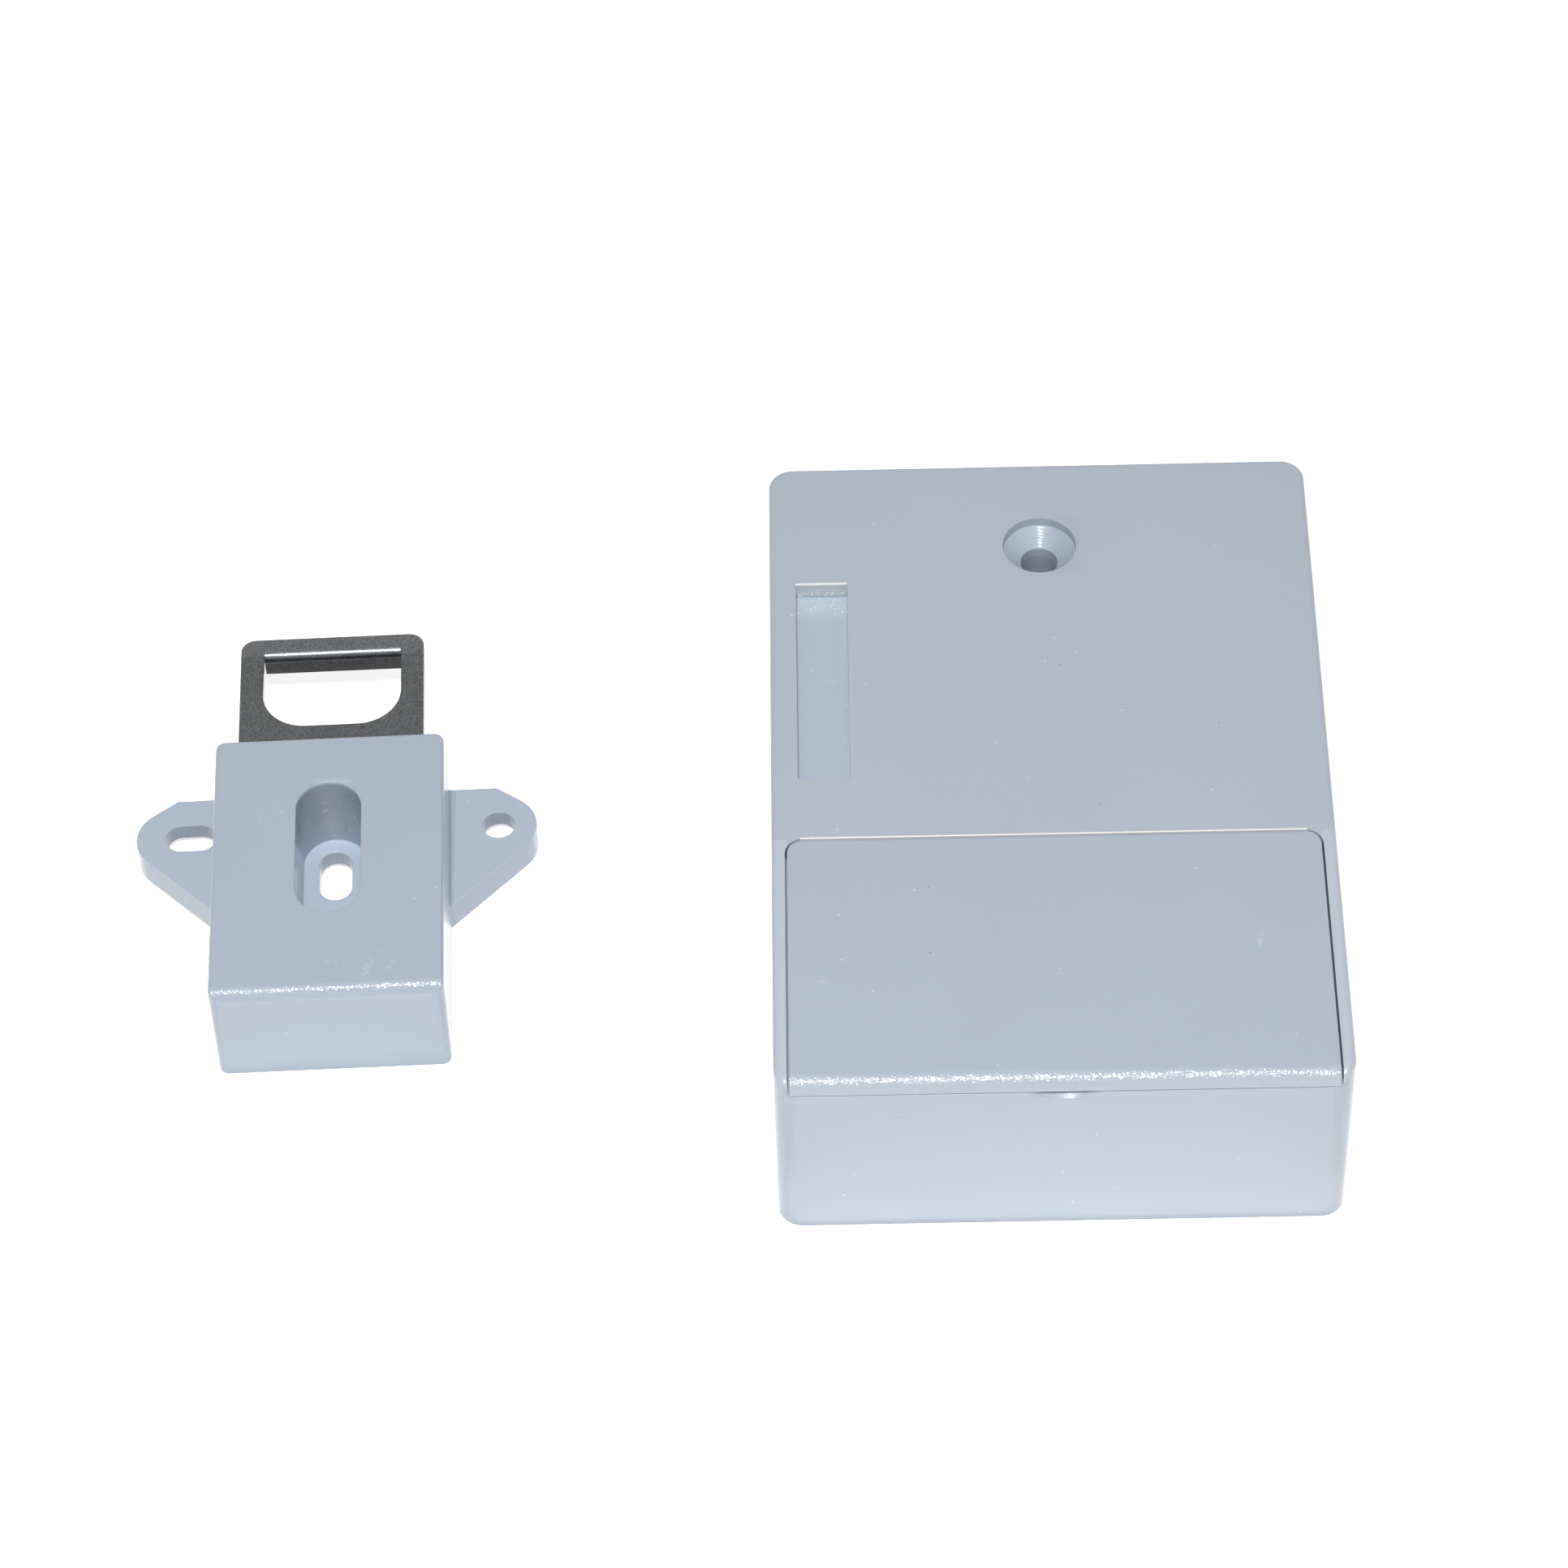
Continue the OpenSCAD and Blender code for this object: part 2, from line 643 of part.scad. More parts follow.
// Battery door: hooks under the face at its far edge, front edge wraps over the front wall
module battery_door() {
    color(plastic) {
        difference() {
            translate([0, 0, door_z]) linear_extrude(door_t)
                door_plan(door_w, door_corner_r, door_edge_y, body_l / 2);
            front_edge_cut(body_w, body_l, body_h, front_edge_r);
        }
        for (s = [-1, 1]) {
            block_from(s * hook_x - hook_w / 2, s * hook_x + hook_w / 2, -door_edge_y - hook_neck, -door_edge_y,
                door_z - hook_drop, door_z + fuse);
            block_from(s * hook_x - hook_w / 2, s * hook_x + hook_w / 2, -door_edge_y - hook_neck,
                -door_edge_y + hook_out, door_z - hook_drop, roof_z - hook_gap);
        }
        block_from(-door_rib_w / 2, door_rib_w / 2, -inner_y + door_rib_y, -inner_y + door_rib_y + door_rib_t,
            door_z - door_rib_h, door_z + fuse);
    }
}

// A cell along X with its button towards +X
module cell() {
    translate([-cell_l / 2, 0, 0]) rotate([0, 90, 0]) cylinder(d = cell_d, h = cell_l - cell_button_h);
    translate([cell_l / 2 - cell_button_h - fuse, 0, 0]) rotate([0, 90, 0])
        cylinder(d = cell_button_d, h = cell_button_h + fuse);
}

module placed_cell(i) {
    p = cell_places()[i];
    shift = contact_x - contact_dimple_h - cell_rest / 2 - cell_l / 2;
    translate([p[1] * shift, p[0], cell_z]) rotate([0, 0, p[1] > 0 ? 0 : 180]) cell();
}

module battery_cell_front() { color("goldenrod") placed_cell(0); }
module battery_cell_middle() { color("goldenrod") placed_cell(1); }
module battery_cell_rear() { color("goldenrod") placed_cell(2); }

module contact_springs() {
    color("silver") for (p = cell_places())
        translate([-p[1] * contact_x, p[0], cell_z]) rotate([0, p[1] * 90, 0]) difference() {
            cylinder(d1 = cell_d * 3 / 4, d2 = cell_d / 2, h = contact_spring_l);
            translate([0, 0, -cut]) cylinder(d = cell_d / 2 - 2 * contact_wire, h = contact_spring_l + 2 * cut);
        }
}

// One contact plate for each cell end, joined in pairs where two cells meet
module contact_plate(side, y0, y1) {
    x0 = side > 0 ? contact_x : -contact_x - contact_t;
    block_from(x0, x0 + contact_t, y0 - contact_w / 2, y1 + contact_w / 2,
        cell_z - contact_h / 2, cell_z + contact_h / 2);
}

module contact_plates() {
    y = [for (p = cell_places()) p[0]];
    color("silver") {
        contact_plate(-1, y[0], y[0]);
        contact_plate(-1, y[1], y[2]);
        contact_plate(1, y[0], y[1]);
        contact_plate(1, y[2], y[2]);
        for (p = cell_places()) translate([p[1] * contact_x, p[0], cell_z]) rotate([0, -p[1] * 90, 0])
            cylinder(d = contact_dimple_d, h = contact_dimple_h);
        for (t = [[-1, 0], [1, 2]]) block_from(t[0] * (contact_x + contact_t / 2) - contact_t / 2,
            t[0] * (contact_x + contact_t / 2) + contact_t / 2, y[t[1]] - tail_w / 2, y[t[1]] + tail_w / 2,
            deck_z - tail_drop, cell_z);
    }
}

// Circuit board and what is soldered to it
module main_board() {
    color("darkgreen") difference() {
        block_from(board_x0, board_x1, board_y0, board_y1, board_z, board_top);
        for (p = board_screw_places()) translate([p[0], p[1], 0])
            cylinder(d = small_screw_d + 2 * boss_hole_gap, h = board_top + cut);
    }
}

module board_screws() {
    color("silver") for (p = board_screw_places()) translate([p[0], p[1], board_top + small_head_h])
        rotate([180, 0, 0]) pan_screw(small_head_d, small_head_h, small_screw_d * pilot_share, board_t + cut);
}

module antenna_coil() {
    x0 = board_x0 + antenna_inset;
    x1 = board_x1 - antenna_inset;
    y0 = board_y0 + antenna_inset;
    y1 = board_y1 - antenna_inset;
    color("peru") difference() {
        block_from(x0, x1, y0, y1, board_z - antenna_t, board_z);
        block_from(x0 + antenna_w, x1 - antenna_w, y0 + antenna_w, y1 - antenna_w, board_z - cut, board_z + cut);
    }
}

chip_w = 7;
reader_w = 5;
driver_w = 4;
board_mid_x = (board_x0 + board_x1) / 2;
chip_up = 6;
chip_y = mech_low_y + chip_up;

module control_chips() {
    color("dimgray") {
        translate([board_mid_x, chip_y, board_top + chip_h / 2]) cube([chip_w, chip_w, chip_h], center = true);
        translate([board_mid_x, chip_y - 2 * chip_w, board_top + chip_h / 2])
            cube([reader_w, reader_w, chip_h], center = true);
        translate([board_mid_x + 2 * chip_w - fuse, chip_y, board_top + chip_h / 2])
            cube([driver_w, reader_w, chip_h], center = true);
    }
}

module capacitor() {
    color("silver") translate([board_x1 - connector_w - capacitor_d, mech_low_y - 2 * capacitor_d, board_top])
        cylinder(d = capacitor_d, h = capacitor_h);
}

module buzzer() {
    color("black") translate([board_x0 + buzzer_d, mech_low_y - buzzer_d, board_top]) tube(buzzer_d, buzzer_d / 3, buzzer_h);
}

connector_x = board_x1 - connector_w / 2 - seat_gap;
motor_plug_y = slot_y + 2 * seat_gap;
battery_plug_y = board_y0 + 2 * board_inset + connector_l;

module wire_connectors() {
    color("ivory") for (y = [motor_plug_y, battery_plug_y])
        translate([connector_x - connector_w / 2, y - connector_l / 2, board_top])
            cube([connector_w, connector_l, connector_h]);
}

module set_switch() {
    color("gray") difference() {
        translate([button_x - switch_w / 2, button_y - switch_w / 2, board_top]) cube([switch_w, switch_w, switch_h]);
        translate([button_x, button_y, board_top + switch_h - button_in - button_travel - slide_gap])
            cylinder(d = button_d + 2 * seat_gap, h = switch_h);
    }
}

module set_button() {
    z0 = board_top + switch_h - button_in;
    color("black") translate([button_x, button_y, z0]) cylinder(d = button_d, h = deck_z - button_roof_gap - z0);
}

plus_x = contact_x + contact_t / 2;
lead_low_z = board_top + connector_h / 2;
lead_half = 0.9;

module battery_leads() {
    plug_y = battery_plug_y - connector_l / 2 - seat_gap - lead_d / 2;
    y_front = cell_places()[0][0];
    y_rear = cell_places()[2][0];
    tail_z = deck_z - tail_drop - seat_gap - lead_d / 2;
    color("firebrick") lead([[plus_x, y_rear, tail_z], [connector_x + lead_half, y_rear, lead_low_z + lead_d],
        [connector_x + lead_half, plug_y, lead_low_z]]);
    color("black") lead([[-plus_x, y_front, tail_z], [-plus_x, y_front + lead_d, lead_low_z],
        [connector_x - mount_low_x, y_front + 2 * lead_d, lead_low_z], [plus_x, y_front + 2 * lead_d, lead_low_z],
        [plus_x, y_rear - cell_pitch, lead_low_z], [connector_x - lead_half, plug_y, lead_low_z]]);
}

// Mechanism plate under the carriage, on bosses that hang from the face
module mechanism_plate() {
    x0 = mech_left_x - mech_edge;
    x1 = mech_right_x + mech_edge;
    color("slategray") difference() {
        block_from(x0, x1, mech_low_y - mech_edge, mech_high_y + mech_edge, mech_z, mech_z + mech_t);
        for (p = mech_screw_places()) translate([p[0], p[1], mech_z - cut])
            cylinder(d = small_screw_d + 2 * boss_hole_gap, h = mech_t + 2 * cut);
    }
}

module plate_screws() {
    color("silver") for (p = mech_screw_places()) translate([p[0], p[1], mech_z - small_head_h])
        pan_screw(small_head_d, small_head_h, small_screw_d * pilot_share, small_screw_l);
}

module position_switch() {
    x0 = motor_x + motor_w / 2 + slide_gap;
    y0 = slot_y + rack_w / 2 + slide_gap + lead_d;
    z0 = mech_z + mech_t;
    color("black") {
        block_from(x0, x0 + position_w, y0, y0 + position_l, z0, z0 + position_h);
        block_from(x0 + lead_d, x0 + position_w - lead_d, slot_y + rack_w / 2 + slide_gap, y0 + fuse,
            z0 + lead_d, z0 + 3 * lead_d);
    }
}

// Gearmotor: its shaft lies along Y
module motor_section(l) {
    intersection() {
        rotate([-90, 0, 0]) cylinder(d = motor_w, h = l);
        translate([-motor_w / 2, 0, -motor_h / 2]) cube([motor_w, l, motor_h]);
    }
}

can_boss_d = 4;
can_boss_h = 1;
tab_w = 1.6;
tab_t = 0.4;
tab_l = 1.6;

module latch_motor() {
    color("silver") translate([motor_x, motor_y, motor_z]) {
        motor_section(motor_l);
        translate([0, motor_l - fuse, 0]) rotate([-90, 0, 0]) cylinder(d = can_boss_d, h = can_boss_h + fuse);
        for (s = [-1, 1]) translate([s * motor_w / 3 - tab_w / 2, motor_l - fuse, -tab_t / 2])
            cube([tab_w, tab_l + fuse, tab_t]);
    }
}

module motor_gearbox() {
    color("darkgoldenrod") translate([motor_x, gearbox_y, motor_z]) difference() {
        translate([-motor_w / 2, 0, -motor_h / 2]) cube([motor_w, gearbox_l, motor_h]);
        translate([0, -cut, 0]) rotate([-90, 0, 0])
            cylinder(d = shaft_d + 2 * shaft_fit, h = cut + shaft_in + slide_gap);
    }
}

module motor_clamp() {
    z0 = motor_z - motor_h / 2 - clamp_t;
    color("silver") difference() {
        block_from(motor_x - clamp_reach - clamp_boss_d / 2, motor_x + clamp_reach + clamp_boss_d / 2,
            clamp_y - clamp_l / 2, clamp_y + clamp_l / 2, z0, z0 + clamp_t);
        for (s = [-1, 1]) translate([motor_x + s * clamp_reach, clamp_y, z0 - cut])
            cylinder(d = small_screw_d + 2 * boss_hole_gap, h = clamp_t + 2 * cut);
    }
}

module clamp_screws() {
    color("silver") for (s = [-1, 1])
        translate([motor_x + s * clamp_reach, clamp_y, motor_z - motor_h / 2 - clamp_t - small_head_h])
            pan_screw(small_head_d, small_head_h, small_screw_d * pilot_share, small_screw_l - clamp_t);
}

module motor_leads() {
    back_y = motor_y + motor_l + tab_l + seat_gap + lead_d / 2;
    plug_y = motor_plug_y + connector_l / 2 + seat_gap + lead_d / 2;
    edge_x = inner_x - 2 * lead_d;
    for (s = [-1, 1]) color(s > 0 ? "firebrick" : "black")
        lead([[motor_x + s * motor_w / 3, back_y, motor_z], [motor_x + s * motor_w / 3, back_y, lead_low_z + lead_d],
            [edge_x + s * lead_half, clamp_y, lead_low_z], [edge_x + s * lead_half, board_y1 + lead_d, lead_low_z],
            [connector_x + s * lead_half, plug_y, lead_low_z]]);
}

module motor_shaft() {
    y0 = slot_y - pinion_w / 2 - shaft_out;
    color("silver") translate([motor_x, y0, motor_z]) rotate([-90, 0, 0])
        cylinder(d = shaft_d, h = gearbox_y + shaft_in - y0);
}

// The pinion's teeth, one of them in the rack's gap below the shaft
module tooth(r) {
    tip_half = tooth_root_half * tooth_tip_share;
    polygon([[-tooth_root_half, r - gear_root - fuse], [tooth_root_half, r - gear_root - fuse],
        [tip_half, r + gear_tip], [-tip_half, r + gear_tip]]);
}

module drive_pinion() {
    color("ivory") translate([motor_x, slot_y + pinion_w / 2, motor_z]) rotate([90, 0, 0])
        difference() {
            linear_extrude(pinion_w) union() {
                circle(pinion_r - gear_root);
                for (i = [0 : pinion_teeth - 1]) rotate(i * 360 / pinion_teeth) tooth(pinion_r);
            }
            translate([0, 0, -cut]) cylinder(d = shaft_d + 2 * shaft_fit, h = pinion_w + 2 * cut);
        }
}

module rack_tooth() {
    half = gear_pitch * rack_half_share;
    slope = tan(20);
    polygon([[-half - gear_root * slope, -gear_root - fuse], [half + gear_root * slope, -gear_root - fuse],
        [half + gear_root * slope, -gear_root], [half - gear_tip * slope, gear_tip],
        [-half + gear_tip * slope, gear_tip], [-half - gear_root * slope, -gear_root]]);
}

// Carriage: a tray for the bolt with a rack behind it
module latch_carriage() {
    lug_x = bolt_tail_x - lug_in - lug_l;
    teeth_left = ceil(pinion_r / gear_pitch);
    teeth_right = ceil((bolt_travel + pinion_r) / gear_pitch) - 1;
    floor_top = carriage_z + carriage_floor_t;
    color("whitesmoke") difference() {
        union() {
            block_from(carriage_front_x, carriage_back_x, slot_y - carriage_w / 2, slot_y + carriage_w / 2,
                carriage_z, floor_top);
            for (s = [-1, 1]) translate([0, slot_y + s * (carriage_w - carriage_side) / 2, 0])
                block_from(carriage_front_x, carriage_back_x, -carriage_side / 2, carriage_side / 2,
                    carriage_z, bolt_z + carriage_side_h);
            block_from(carriage_end_x, carriage_back_x, slot_y - carriage_w / 2, slot_y + carriage_w / 2,
                carriage_z, bolt_z + carriage_side_h);
            block_from(carriage_end_x, carriage_back_x, slot_y - bolt_w / 2, slot_y + bolt_w / 2,
                carriage_z, bolt_z + bolt_h);
            block_from(carriage_end_x, rack_end_x, slot_y - rack_w / 2, slot_y + rack_w / 2,
                carriage_z, rack_root_z);
            for (i = [-teeth_left : teeth_right])
                translate([motor_x + (i + 0.5) * gear_pitch, slot_y + rack_w / 2, rack_pitch_z]) rotate([90, 0, 0])
                    linear_extrude(rack_w) rack_tooth();
        }
        block_from(lug_x - bolt_floor_gap, lug_x + lug_l + bolt_travel + slide_gap, slot_y - lug_w / 2 - slide_gap,
            slot_y + lug_w / 2 + slide_gap, carriage_z - cut, floor_top + cut);
    }
}

module latch_bolt() {
    lug_x = bolt_tail_x - lug_in - lug_l;
    run = bolt_h - bolt_nose_h;
    color("silver") difference() {
        union() {
            translate([0, slot_y + bolt_w / 2, bolt_z]) rotate([90, 0, 0]) linear_extrude(bolt_w)
                polygon([[bolt_tip_x, 0], [bolt_tail_x, 0], [bolt_tail_x, bolt_h], [bolt_tip_x + run, bolt_h],
                    [bolt_tip_x, bolt_nose_h]]);
            block_from(lug_x, lug_x + lug_l, slot_y - lug_w / 2, slot_y + lug_w / 2, bolt_z - lug_h, bolt_z + fuse);
        }
        translate([bolt_tail_x - bolt_pocket_l, slot_y, bolt_mid_z]) rotate([0, 90, 0])
            cylinder(d = bolt_pocket_d, h = bolt_pocket_l + cut);
    }
}

module bolt_spring() {
    color("silver") translate([bolt_tail_x - bolt_pocket_l, slot_y, bolt_mid_z]) rotate([0, 90, 0])
        tube(bolt_spring_d, spring_tube, bolt_pocket_l + spring_room);
}

// Ejector: a plate under the slot with a leg over each spring
module ejector() {
    color(plastic) difference() {
        union() {
            translate([slot_x - eject_w / 2, slot_y - eject_l / 2, eject_top - eject_t])
                cube([eject_w, eject_l, eject_t]);
            for (s = [-1, 1]) translate([slot_x - eject_leg_w / 2, slot_y + s * spring_y - eject_leg_l / 2,
                eject_top - eject_t - eject_leg_h]) cube([eject_leg_w, eject_leg_l, eject_leg_h + fuse]);
        }
        for (s = [-1, 1]) translate([slot_x, slot_y + s * spring_y, eject_top - eject_t - eject_leg_h - cut])
            cylinder(d = eject_bore, h = eject_leg_h + cut);
    }
}

module ejector_springs() {
    color("silver") for (s = [-1, 1]) translate([slot_x, slot_y + s * spring_y, cover_t])
        tube(eject_spring_d, spring_tube, eject_top - eject_t - cover_t);
}

// Strike, drawn about the middle of its own base
module strike_place() {
    translate([-strike_off_x, -strike_off_y, 0]) rotate([0, 0, strike_turn]) children();
}

// An ear's outline on the +X side: a round tip, a steep near edge and a clipped far corner
module ear_plan(inset) {
    r = ear_r - inset;
    root_x = strike_w / 2 - strike_wall;
    far_y = strike_l / 2 - inset;
    a = ear_far_angle;
    b = ear_near_angle;
    far_p = [ear_x + r * cos(a), ear_y + r * sin(a)];
    near_p = [ear_x + r * sin(b), ear_y - r * cos(b)];
    far_x = far_p[0] - (far_y - far_p[1]) * tan(a);
    near_y = near_p[1] - (near_p[0] - root_x) * tan(b);
    polygon([[root_x, near_y], near_p, [ear_x, ear_y], far_p, [far_x, far_y], [root_x, far_y]]);
    translate([ear_x, ear_y]) circle(r);
}

module strike_stakes(d, z0, z1) {
    for (s = [-1, 1], y = [stake_far_y, stake_near_y]) translate([s * stake_x, y, z0]) cylinder(d = d, h = z1 - z0);
}

module strike_housing() {
    w = strike_w - 2 * strike_wall;
    l = strike_l - 2 * strike_wall;
    color(plastic) strike_place() difference() {
        union() {
            difference() {
                union() {
                    soft_block(strike_w, strike_l, strike_h, strike_corner_r, strike_edge_r);
                    for (s = [0, 1]) mirror([s, 0, 0]) linear_extrude(ear_h) ear_plan(0);
                }
                front_edge_cut(strike_w, strike_l, strike_h, strike_front_r);
                block_from(-w / 2, w / 2, -l / 2, l / 2, -cut, strike_roof_z);
                for (s = [0, 1]) mirror([s, 0, 0]) translate([0, 0, -cut]) linear_extrude(ear_h - web_t + cut)
                    difference() {
                        ear_plan(skirt_t);
                        translate([0, -strike_l]) square([strike_w / 2, 2 * strike_l]);
                    }
            }
            translate([0, pocket_y, ear_h - web_t]) linear_extrude(strike_roof_z - ear_h + web_t + fuse)
                rotate(90) obround(pocket_l + 2 * pocket_wall, pocket_w + 2 * pocket_wall);
            strike_stakes(stake_d, plate_z - stake_head_h, strike_roof_z + fuse);
            strike_stakes(stake_head_d, plate_z - stake_head_h, plate_z - plate_gap / 2);
        }
        translate([0, pocket_y, ear_h]) linear_extrude(strike_h) rotate(90) obround(pocket_l, pocket_w);
        translate([0, floor_slot_y, 0]) linear_extrude(strike_h) rotate(90) obround(floor_slot_l, strike_hole_d);
        translate([ear_x, ear_y, -cut]) cylinder(d = strike_hole_d, h = ear_h + 2 * cut);
        translate([-ear_slot_x, ear_y, -cut]) linear_extrude(ear_h + 2 * cut) obround(ear_slot_l, strike_hole_d);
        block_from(-plate_w / 2 - plate_gap, plate_w / 2 + plate_gap, l / 2 - cut, strike_l / 2 + cut,
            plate_z - plate_gap, strike_roof_z);
    }
}

module loop_plan(w, y0, l, r) {
    translate([-w / 2, y0 + r]) square([w, l - r]);
    translate([-w / 2 + r, y0]) square([w - 2 * r, l]);
    for (s = [-1, 1]) translate([s * (w / 2 - r), y0 + r]) circle(r);
}

module strike_plate() {
    loop_w = plate_w - 2 * bar_w;
    far_y = strike_l / 2 + plate_out;
    lip_y = far_y - bar_w;
    boss_half = pocket_w / 2 + pocket_wall + arm_gap;
    boss_far = pocket_y + pocket_l / 2 + pocket_wall + arm_gap;
    color("dimgray") strike_place() {
        difference() {
            translate([0, 0, plate_z]) linear_extrude(plate_t) difference() {
                union() {
                    translate([-plate_w / 2, plate_arm_y]) square([plate_w, far_y - plate_corner_r - plate_arm_y]);
                    translate([-plate_w / 2 + plate_corner_r, plate_arm_y])
                        square([plate_w - 2 * plate_corner_r, far_y - plate_arm_y]);
                    for (s = [-1, 1]) translate([s * (plate_w / 2 - plate_corner_r), far_y - plate_corner_r])
                        circle(plate_corner_r);
                }
                loop_plan(loop_w, lip_y - loop_l, loop_l, loop_r);
                translate([-boss_half, plate_arm_y - cut]) square([2 * boss_half, boss_far - plate_arm_y + cut]);
                for (s = [-1, 1], y = [stake_far_y, stake_near_y])
                    translate([s * stake_x, y]) circle(d = stake_d + 2 * plate_gap);
            }
            // the outer radius of the bend along the opening's far side
            difference() {
                block_from(-loop_w / 2, loop_w / 2, lip_y - cut, lip_y + bend_r,
                    plate_z - cut, plate_top + cut);
                translate([0, lip_y + bend_r, plate_top - bend_r]) rotate([0, 90, 0])
                    cylinder(r = bend_r, h = plate_w, center = true);
            }
        }
        difference() {
            block_from(-loop_w / 2, loop_w / 2, lip_y, lip_y + plate_t,
                plate_top - lip_h, plate_top - fuse);
            difference() {
                block_from(-plate_w, plate_w, lip_y - cut, lip_y + bend_r, plate_top - bend_r, plate_top + cut);
                translate([0, lip_y + bend_r, plate_top - bend_r]) rotate([0, 90, 0])
                    cylinder(r = bend_r, h = 3 * plate_w, center = true);
            }
        }
    }
}

front_housing();
back_cover();
cover_screws();
battery_door();
battery_cell_front();
battery_cell_middle();
battery_cell_rear();
contact_springs();
contact_plates();
battery_leads();
main_board();
board_screws();
antenna_coil();
control_chips();
capacitor();
buzzer();
wire_connectors();
set_switch();
set_button();
mechanism_plate();
plate_screws();
position_switch();
latch_motor();
motor_gearbox();
motor_clamp();
clamp_screws();
motor_leads();
motor_shaft();
drive_pinion();
latch_carriage();
latch_bolt();
bolt_spring();
ejector();
ejector_springs();
strike_housing();
strike_plate();
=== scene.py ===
"""Battery cabinet lock and its strike: studio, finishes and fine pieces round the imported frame."""

import logging
import math
from dataclasses import dataclass, replace
from enum import Enum
from functools import cached_property, reduce
from itertools import product
from typing import Callable, Iterable, Sequence

import bmesh
import bpy
from mathutils import Matrix, Vector


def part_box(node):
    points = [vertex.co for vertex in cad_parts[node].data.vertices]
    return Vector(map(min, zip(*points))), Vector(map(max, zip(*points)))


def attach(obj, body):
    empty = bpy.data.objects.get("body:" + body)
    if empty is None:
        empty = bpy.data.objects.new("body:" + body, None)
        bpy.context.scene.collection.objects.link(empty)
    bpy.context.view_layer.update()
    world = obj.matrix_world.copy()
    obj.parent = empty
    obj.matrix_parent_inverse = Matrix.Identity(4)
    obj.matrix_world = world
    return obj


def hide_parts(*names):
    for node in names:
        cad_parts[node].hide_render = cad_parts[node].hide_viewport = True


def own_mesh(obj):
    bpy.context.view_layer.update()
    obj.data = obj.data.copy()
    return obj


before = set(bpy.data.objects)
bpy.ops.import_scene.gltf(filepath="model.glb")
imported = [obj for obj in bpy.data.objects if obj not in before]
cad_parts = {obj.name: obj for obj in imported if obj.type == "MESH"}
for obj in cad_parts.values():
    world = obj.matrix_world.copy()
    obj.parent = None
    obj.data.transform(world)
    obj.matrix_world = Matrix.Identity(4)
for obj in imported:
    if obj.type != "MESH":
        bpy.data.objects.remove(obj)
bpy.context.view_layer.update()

LOG = logging.getLogger("cabinet_lock")
MM = 0.001
TURN = 2 * math.pi
HERE = Matrix.Identity(4)
SOLID_REACH = 1e-7
LEAD_REACH = 1e-6
WELD_REACH = 0.01 * MM
FLAT_ANGLE = math.radians(0.5)
SHARP_ANGLE = math.radians(35.0)
BEVEL_STEPS = 2
FLAT_WEIGHT = 80

Triple = tuple[float, float, float]
Profile = Sequence[tuple[float, float]]
Socket = bpy.types.NodeSocket
Row = list[bmesh.types.BMVert]


class Side(Enum):
    """Which way a piece points along its own axis."""

    LOW = -1.0
    HIGH = 1.0


class Long(Enum):
    """The axis that a long piece lies along."""

    X = 0
    Y = 1
    Z = 2


def clamp(value: float) -> float:
    """A number held between 0 and 1."""
    return max(0.0, min(1.0, value))


def circle(count: int) -> list[tuple[float, float]]:
    """The cosine and sine of equal steps round a circle."""
    return [(math.cos(TURN * i / count), math.sin(TURN * i / count)) for i in range(count)]


def shade(colour: Triple, factor: float | Triple, most: float = 1.0) -> Triple:
    """A colour made paler or darker.

    Args:
        colour: the colour to start from.
        factor: what its channels are multiplied by, together or one by one.
        most: the highest value that a channel may reach.

    Returns:
        The new colour.
    """
    factors = factor if isinstance(factor, tuple) else (factor,) * 3
    return tuple(min(most, c * f) for c, f in zip(colour, factors))


def configure(thing: object, **settings: object) -> object:
    """Sets the options of a Blender thing.

    Args:
        thing: what is set.
        settings: its options by name.

    Returns:
        The same thing.
    """
    for name, value in settings.items():
        setattr(thing, name, value)
    return thing


def stand(name: str, data: bpy.types.ID, **settings: object) -> bpy.types.Object:
    """Puts new data into the scene as an object.

    Args:
        name: the object's name.
        data: its mesh, lamp or camera.
        settings: the object's options by name.

    Returns:
        The object.
    """
    made = configure(bpy.data.objects.new(name, data), **settings)
    bpy.context.scene.collection.objects.link(made)
    return made


